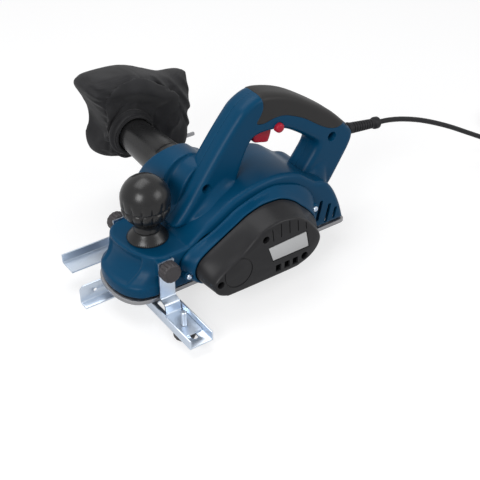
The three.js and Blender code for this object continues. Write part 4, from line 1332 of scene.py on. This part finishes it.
# ---------------------------------------------------------------- cutter drum
def make_drum():
    piece = spun("planing_drum", [
        (0, -75), (4.4, -75), (5, -74.4), (5, -40.5), (26.2, -40.5), (27, -39.7), (27, 39.7), (26.2, 40.5),
        (5, 40.5), (5, 48.2), (4.4, 48.8), (0, 48.8),
    ], DRUM_AT, "y", 96)
    for half in (0, 1):
        slot = brick("slot", (DRUM_AT[0] - 5, -42, DRUM_AT[2] + 20), (DRUM_AT[0] + 2.9, 42, DRUM_AT[2] + 30))
        turn = math.radians(40) + half * math.pi
        boolean(piece, [turn_about(slot, -turn, DRUM_AT)])
    return dress(piece, "steel", "cutter", ["cutter_drum"], 30)


make_drum()


# ---------------------------------------------------------------- outlet tube and its elastic
def make_tube():
    piece = spun("outlet_tube", [
        (20.6, 34), (23.6, 34), (24.5, 34.8), (24.5, 52.6), (23.4, 55.4), (22.9, 57.5), (22.3, 66),
        (20.2, 118), (19.8, 122), (19.8, 139), (19.3, 139.7), (17.8, 139.7), (17.8, 120), (20.6, 57),
        (20.6, 34),
    ], CHUTE_AT, "y", 72)
    return dress(piece, "black_plastic", "bag_outlet", ["dust_tube"], 35, KNOB_BLACK)


def make_elastic():
    elastic = spun("elastic_band", [
        (24.0, 128.6), (24.9, 128.4), (25.4, 129), (25.1, 129.7), (25.4, 130.4), (25.1, 131.1),
        (25.4, 131.8), (24.9, 132.4), (24.0, 132.2), (24.0, 128.6),
    ], CHUTE_AT, "y", 72)
    return dress(elastic, "soft_rubber", "bag_outlet", ["neck_elastic"], 40)


make_tube()
make_elastic()


# ---------------------------------------------------------------- sheet metal
CLAMP_AT = (-98, 41)
STUD_AT = (-100, -82, 0)
SHEET = 1.8


def rounded_slot(name, low, high, axis):
    piece = brick(name, low, high)
    width = min(h - l for l, h in zip(low, high))
    return bevel_along(piece, axis, width * 0.49)


def bevel_along(piece, axis, width):
    """Rounds only the edges that run along the axis."""
    edit(piece, "EDGE")
    way = Vector(WAY[axis])

    def runs_along(co, part):
        return abs((part.verts[1].co - part.verts[0].co).normalized().dot(way)) > 0.99

    pick(piece, runs_along, "edges")
    bpy.ops.mesh.bevel(offset=width * MM, segments=8, affect="EDGES")
    object_mode()
    return piece


def make_bracket():
    path = [(-47.2, 50), (-47.2, 3.5), (-56, 1.6), (-57.5, -10), (-64, -10)]
    piece = bent_strip("near_bracket", path, -107, -89, SHEET, 2.4)
    foot = brick("foot", (-111.7, -98, -10.9), (-88.3, -58.5, -9.1))
    bevel_along(foot, "z", 2.5)
    boolean(piece, [foot], "UNION")
    boolean(piece, [round_bar("eye", (CLAMP_AT[0], -47, CLAMP_AT[1]), "y", 3.5, 8)])
    boolean(piece, [round_bar("eye", (STUD_AT[0], STUD_AT[1], -10), "z", 3.5, 8)])
    bevel(piece, 0.35, 2, 40)
    return dress(piece, "bright_zinc", "housing", ["guide_bracket"], 35)


def make_channel():
    left, right, low, top, t = -114, -86, -13, -2, SHEET
    section = [
        (left, top), (left, low), (right, low), (right, top), (right - t, top), (right - t, low + t),
        (left + t, low + t), (left + t, top),
    ]
    piece = prism("sliding_channel", section, -115, 24.7)
    boolean(piece, [rounded_slot("slot", (-103.5, -105, -20), (-96.5, -32, -5), "z")])
    bevel(piece, 0.4, 2, 40)
    return dress(piece, "bright_zinc", "side_guide", ["guide_channel"], 35)


def make_fence():
    path = [(25.9, -1.6), (25.9, -23.1), (14, -23.1)]
    piece = bent_strip("fence_plate", path, -164, -42, SHEET, 2.2)
    for x, s in ((-164, 1), (-42, -1)):
        boolean(piece, [prism("corner", [(x - s, 0), (x + 5 * s, 0), (x - s, -7)], 20, 30)])
    for x in (-146, -60):
        boolean(piece, [round_bar("hole", (x, 26, -12.5), "y", 2.2, 10)])
    for dx in (-8, 8):
        head = [(0, 0), (2.6, 0), (2.6, 0.4), (1.8, 1.0), (0, 1.15)]
        boolean(piece, [spun("rivet", head, (-100 + dx, 26.4, -7.5), "y", 24)], "UNION")
    bevel(piece, 0.35, 2, 40)
    return dress(piece, "bright_zinc", "side_guide", ["guide_fence"], 35)


def make_stop():
    piece = bent_strip("stop_plate", [(49, 1.4), (72, 1.4), (72, 11.5)], -160, -56, SHEET, 2.2)
    strap = bent_strip("strap", [(47.2, 50), (47.2, 3.2), (49, 1.4), (72, 1.4)], -107, -89, SHEET, 2.4)
    boolean(piece, [strap], "UNION")
    boolean(piece, [rounded_slot("slot", (-101.5, 40, 17.5), (-94.5, 54, 44.5), "y")])
    bevel(piece, 0.35, 2, 40)
    return dress(piece, "bright_zinc", "depth_stop", ["depth_stop"], 35)


make_bracket()
make_channel()
make_fence()
make_stop()


def make_stud():
    """The stud of the channel's clamp, its thread as rings."""
    radius, start, end, pitch = 3, -19.6, 8, 1.25
    profile = [(0, start), (radius * 0.7, start)]
    s = start + 0.4
    while s < end - pitch:
        profile += [
            (radius, s), (radius, s + pitch * 0.25), (radius * 0.86, s + pitch * 0.5),
            (radius * 0.86, s + pitch * 0.75),
        ]
        s += pitch
    profile += [(radius, end - 0.6), (radius * 0.8, end), (0, end)]
    piece = spun("channel_stud", profile, STUD_AT, "z", 28)
    return dress(piece, "bright_zinc", "channel_clamp", ["clamp_stud"], 30)


make_stud()


def make_hand_knob(name, centre, axis, rows, body, stands_for):
    piece = lobed(name, centre, axis, rows, 14)
    return dress(piece, "black_plastic", body, [stands_for], 45, KNOB_GREY)


for sign, body in ((-1, "guide_knob"), (1, "depth_stop_knob")):
    rows = [
        (3, 0, 37.5), (3, 0, 48.5), (9.8, 0, 48.5), (10.7, 0.4, 49.1), (11, 0.9, 50.2), (11, 1.0, 57.4),
        (10.8, 0.9, 58.8), (10.3, 0.5, 59.8), (9.4, 0.1, 60.4), (8.6, 0, 60.5), (8.0, 0, 60.0),
        (0.8, 0, 59.9),
    ]
    rows = [(radius, depth, sign * place) for radius, depth, place in rows]
    make_hand_knob(f"{body}_head", (CLAMP_AT[0], 0, CLAMP_AT[1]), "y", rows, body, body)
make_hand_knob("channel_hand_knob", STUD_AT, "z", [
    (3.3, 0, -13.3), (9.4, 0, -13.3), (11.0, 0.4, -14), (12, 0.7, -15.4), (12, 0.7, -20.6),
    (11.4, 0.5, -22.6), (10.0, 0.2, -23.8), (8.6, 0, -24), (1, 0, -24),
], "channel_clamp", "clamp_knob")

# ---------------------------------------------------------------- dust bag
BAG = [
    (-73, 151), (-67, 160), (-54, 163), (-12, 160), (20, 147), (44, 137), (62, 134.5), (74.5, 132, 0),
    (74.5, 108), (71, 82), (66, 54), (60, 34), (52, 31), (18, 46), (-24, 52), (-48, 54), (-62, 62),
    (-62, 74), (-50, 92), (-57, 116),
]
LEFT_PLEATS = [
    (122, -4.6, 3.0), (111, -6.6, 3.6), (101, -4.2, 2.6), (91, -7.2, 3.8), (80, -5.0, 2.8), (70, -6.6, 3.6),
    (59, -5.0, 3.0), (48, -6.0, 3.6),
]
RIGHT_PLEATS = [(86, -5.0, 3.0), (99, -4.0, 3.2), (112, -2.4, 3.0)]
BAG_ROWS = [
    (141, 0.02), (144, 0.16), (148, 0.38), (153, 0.62), (159, 0.82), (166, 0.94), (175, 1.0), (185, 0.99),
    (194, 0.95), (201, 0.86), (206, 0.72), (209.5, 0.5), (210.5, 0.25),
]

# The cloth moves at most this far from its drawn shape, and never past this depth.
BAG_REACH = 8
BAG_BACK = 212.5
BAG_HELD_TO = 142.5
CLOTH_STEPS = 25


def make_bag_shape():
    outline = curve(BAG, 6)
    x0, z0 = CHUTE_AT[0], CHUTE_AT[2]
    mouth = []
    for x, z in outline:
        away = Vector((x - x0, z - z0)).normalized()
        mouth.append((x0 + 25.5 * away.x, z0 + 25.5 * away.y))
    rings = [place_side(mouth, y) for y in (136.5, 139)]
    rings += [place_side(blend(mouth, outline, share), y) for y, share in BAG_ROWS]
    return skin("cloth_bag", rings)


def past_ridge(x, z):
    """How far right of the ridge that runs from the top middle of the bag down past the neck."""
    return (x + 12 - 0.5 * (160 - z)) * 0.894


def tent(x, z):
    """The front cloth rises to the ridge; the right part falls away from it more steeply."""
    away = past_ridge(x, z)
    slope = math.sqrt(away * away + 3) / (50 if away > 0 else 84)
    return -21 * max(0.0, 1 - slope) * ease(z, 66, 118)


def folds(at, table):
    """The sum of the folds at one place. Each fold is (place, height, width)."""
    return sum(high * math.exp(-((at - place) / wide) ** 2) for place, high, wide in table)


def pleats(x, z):
    """Slack folds: on the left they run down to the neck, on the right along the ridge."""
    away = past_ridge(x, z)
    left = ease(-away, 3, 16)
    right = ease(away, 6, 18)
    down = folds(0.36 * x + 0.93 * z + 2.2 * math.sin(x / 12), LEFT_PLEATS)
    along = folds(0.857 * x + 0.514 * z, RIGHT_PLEATS)
    return left * down + right * along


def drape(piece, shape, front, back):
    """Moves the front cloth by hand into its folds. They fade out between the two depths given."""
    edit(piece)
    mesh = bmesh.from_edit_mesh(piece.data)
    for vert in mesh.verts:
        x, y, z = vert.co / MM
        if y > 143:
            vert.co.y += shape(x, z) * ease(y, 143, 152) * (1 - ease(y, front, back)) * MM
    bmesh.update_edit_mesh(piece.data)
    object_mode()


def blow_up(piece):
    """Lets the cloth fill and crease, held at the neck, then keeps the shape it comes to rest in."""
    start = [v.co.copy() for v in piece.data.vertices]
    held = piece.vertex_groups.new(name="held")
    held.add([v.index for v in piece.data.vertices if v.co.y < BAG_HELD_TO * MM], 1.0, "REPLACE")
    only(piece)
    cloth = piece.modifiers.new("cloth", "CLOTH")
    s = cloth.settings
    s.quality = 6
    s.mass = 0.12
    s.tension_stiffness = 12
    s.compression_stiffness = 12
    s.shear_stiffness = 6
    s.bending_stiffness = 0.15
    s.shrink_min = -0.1
    s.use_pressure = True
    s.uniform_pressure_force = 0.45
    s.vertex_group_mass = "held"
    s.effector_weights.gravity = 0.35
    for step in range(1, CLOTH_STEPS + 1):
        scene.frame_set(step)
    bpy.ops.object.modifier_apply(modifier=cloth.name)
    scene.frame_set(1)
    for v, was in zip(piece.data.vertices, start):
        step = v.co - was
        if step.length > BAG_REACH * MM:
            v.co = was + step.normalized() * BAG_REACH * MM
        v.co.y = min(v.co.y, BAG_BACK * MM)


def make_bag():
    piece = make_bag_shape()
    modify(piece, "REMESH", mode="VOXEL", voxel_size=3.2 * MM)
    drape(piece, tent, 178, 198)
    blow_up(piece)
    modify(piece, "SUBSURF", levels=1, render_levels=1)
    drape(piece, pleats, 164, 180)
    rim = spun("neck_roll", [
        (21.0, 128), (22.6, 126.6), (24.2, 127.2), (24.2, 133.4), (25.0, 134.4), (27.0, 134.8), (28, 136.6),
        (27.8, 138.6), (26.4, 140.2), (25.0, 141), (22.0, 141), (21.0, 128),
    ], CHUTE_AT, "y", 72)
    dress(rim, "bag_cloth", "bag_outlet", ["neck_hoop"], 50)
    dress(piece, "bag_cloth", "bag_outlet", ["dust_bag"], 60)
    return piece


make_bag()
zip_piece = brick("zip_pull_tab", (60, 174, 34.6), (78.5, 176, 39.2))
bevel_along(zip_piece, "y", 1.2)
boolean(zip_piece, [round_bar("eye", (75.6, 175, 37), "y", 1.0, 4, 16)])
dress(zip_piece, "steel", "bag_outlet", ["zip_pull"], 35)
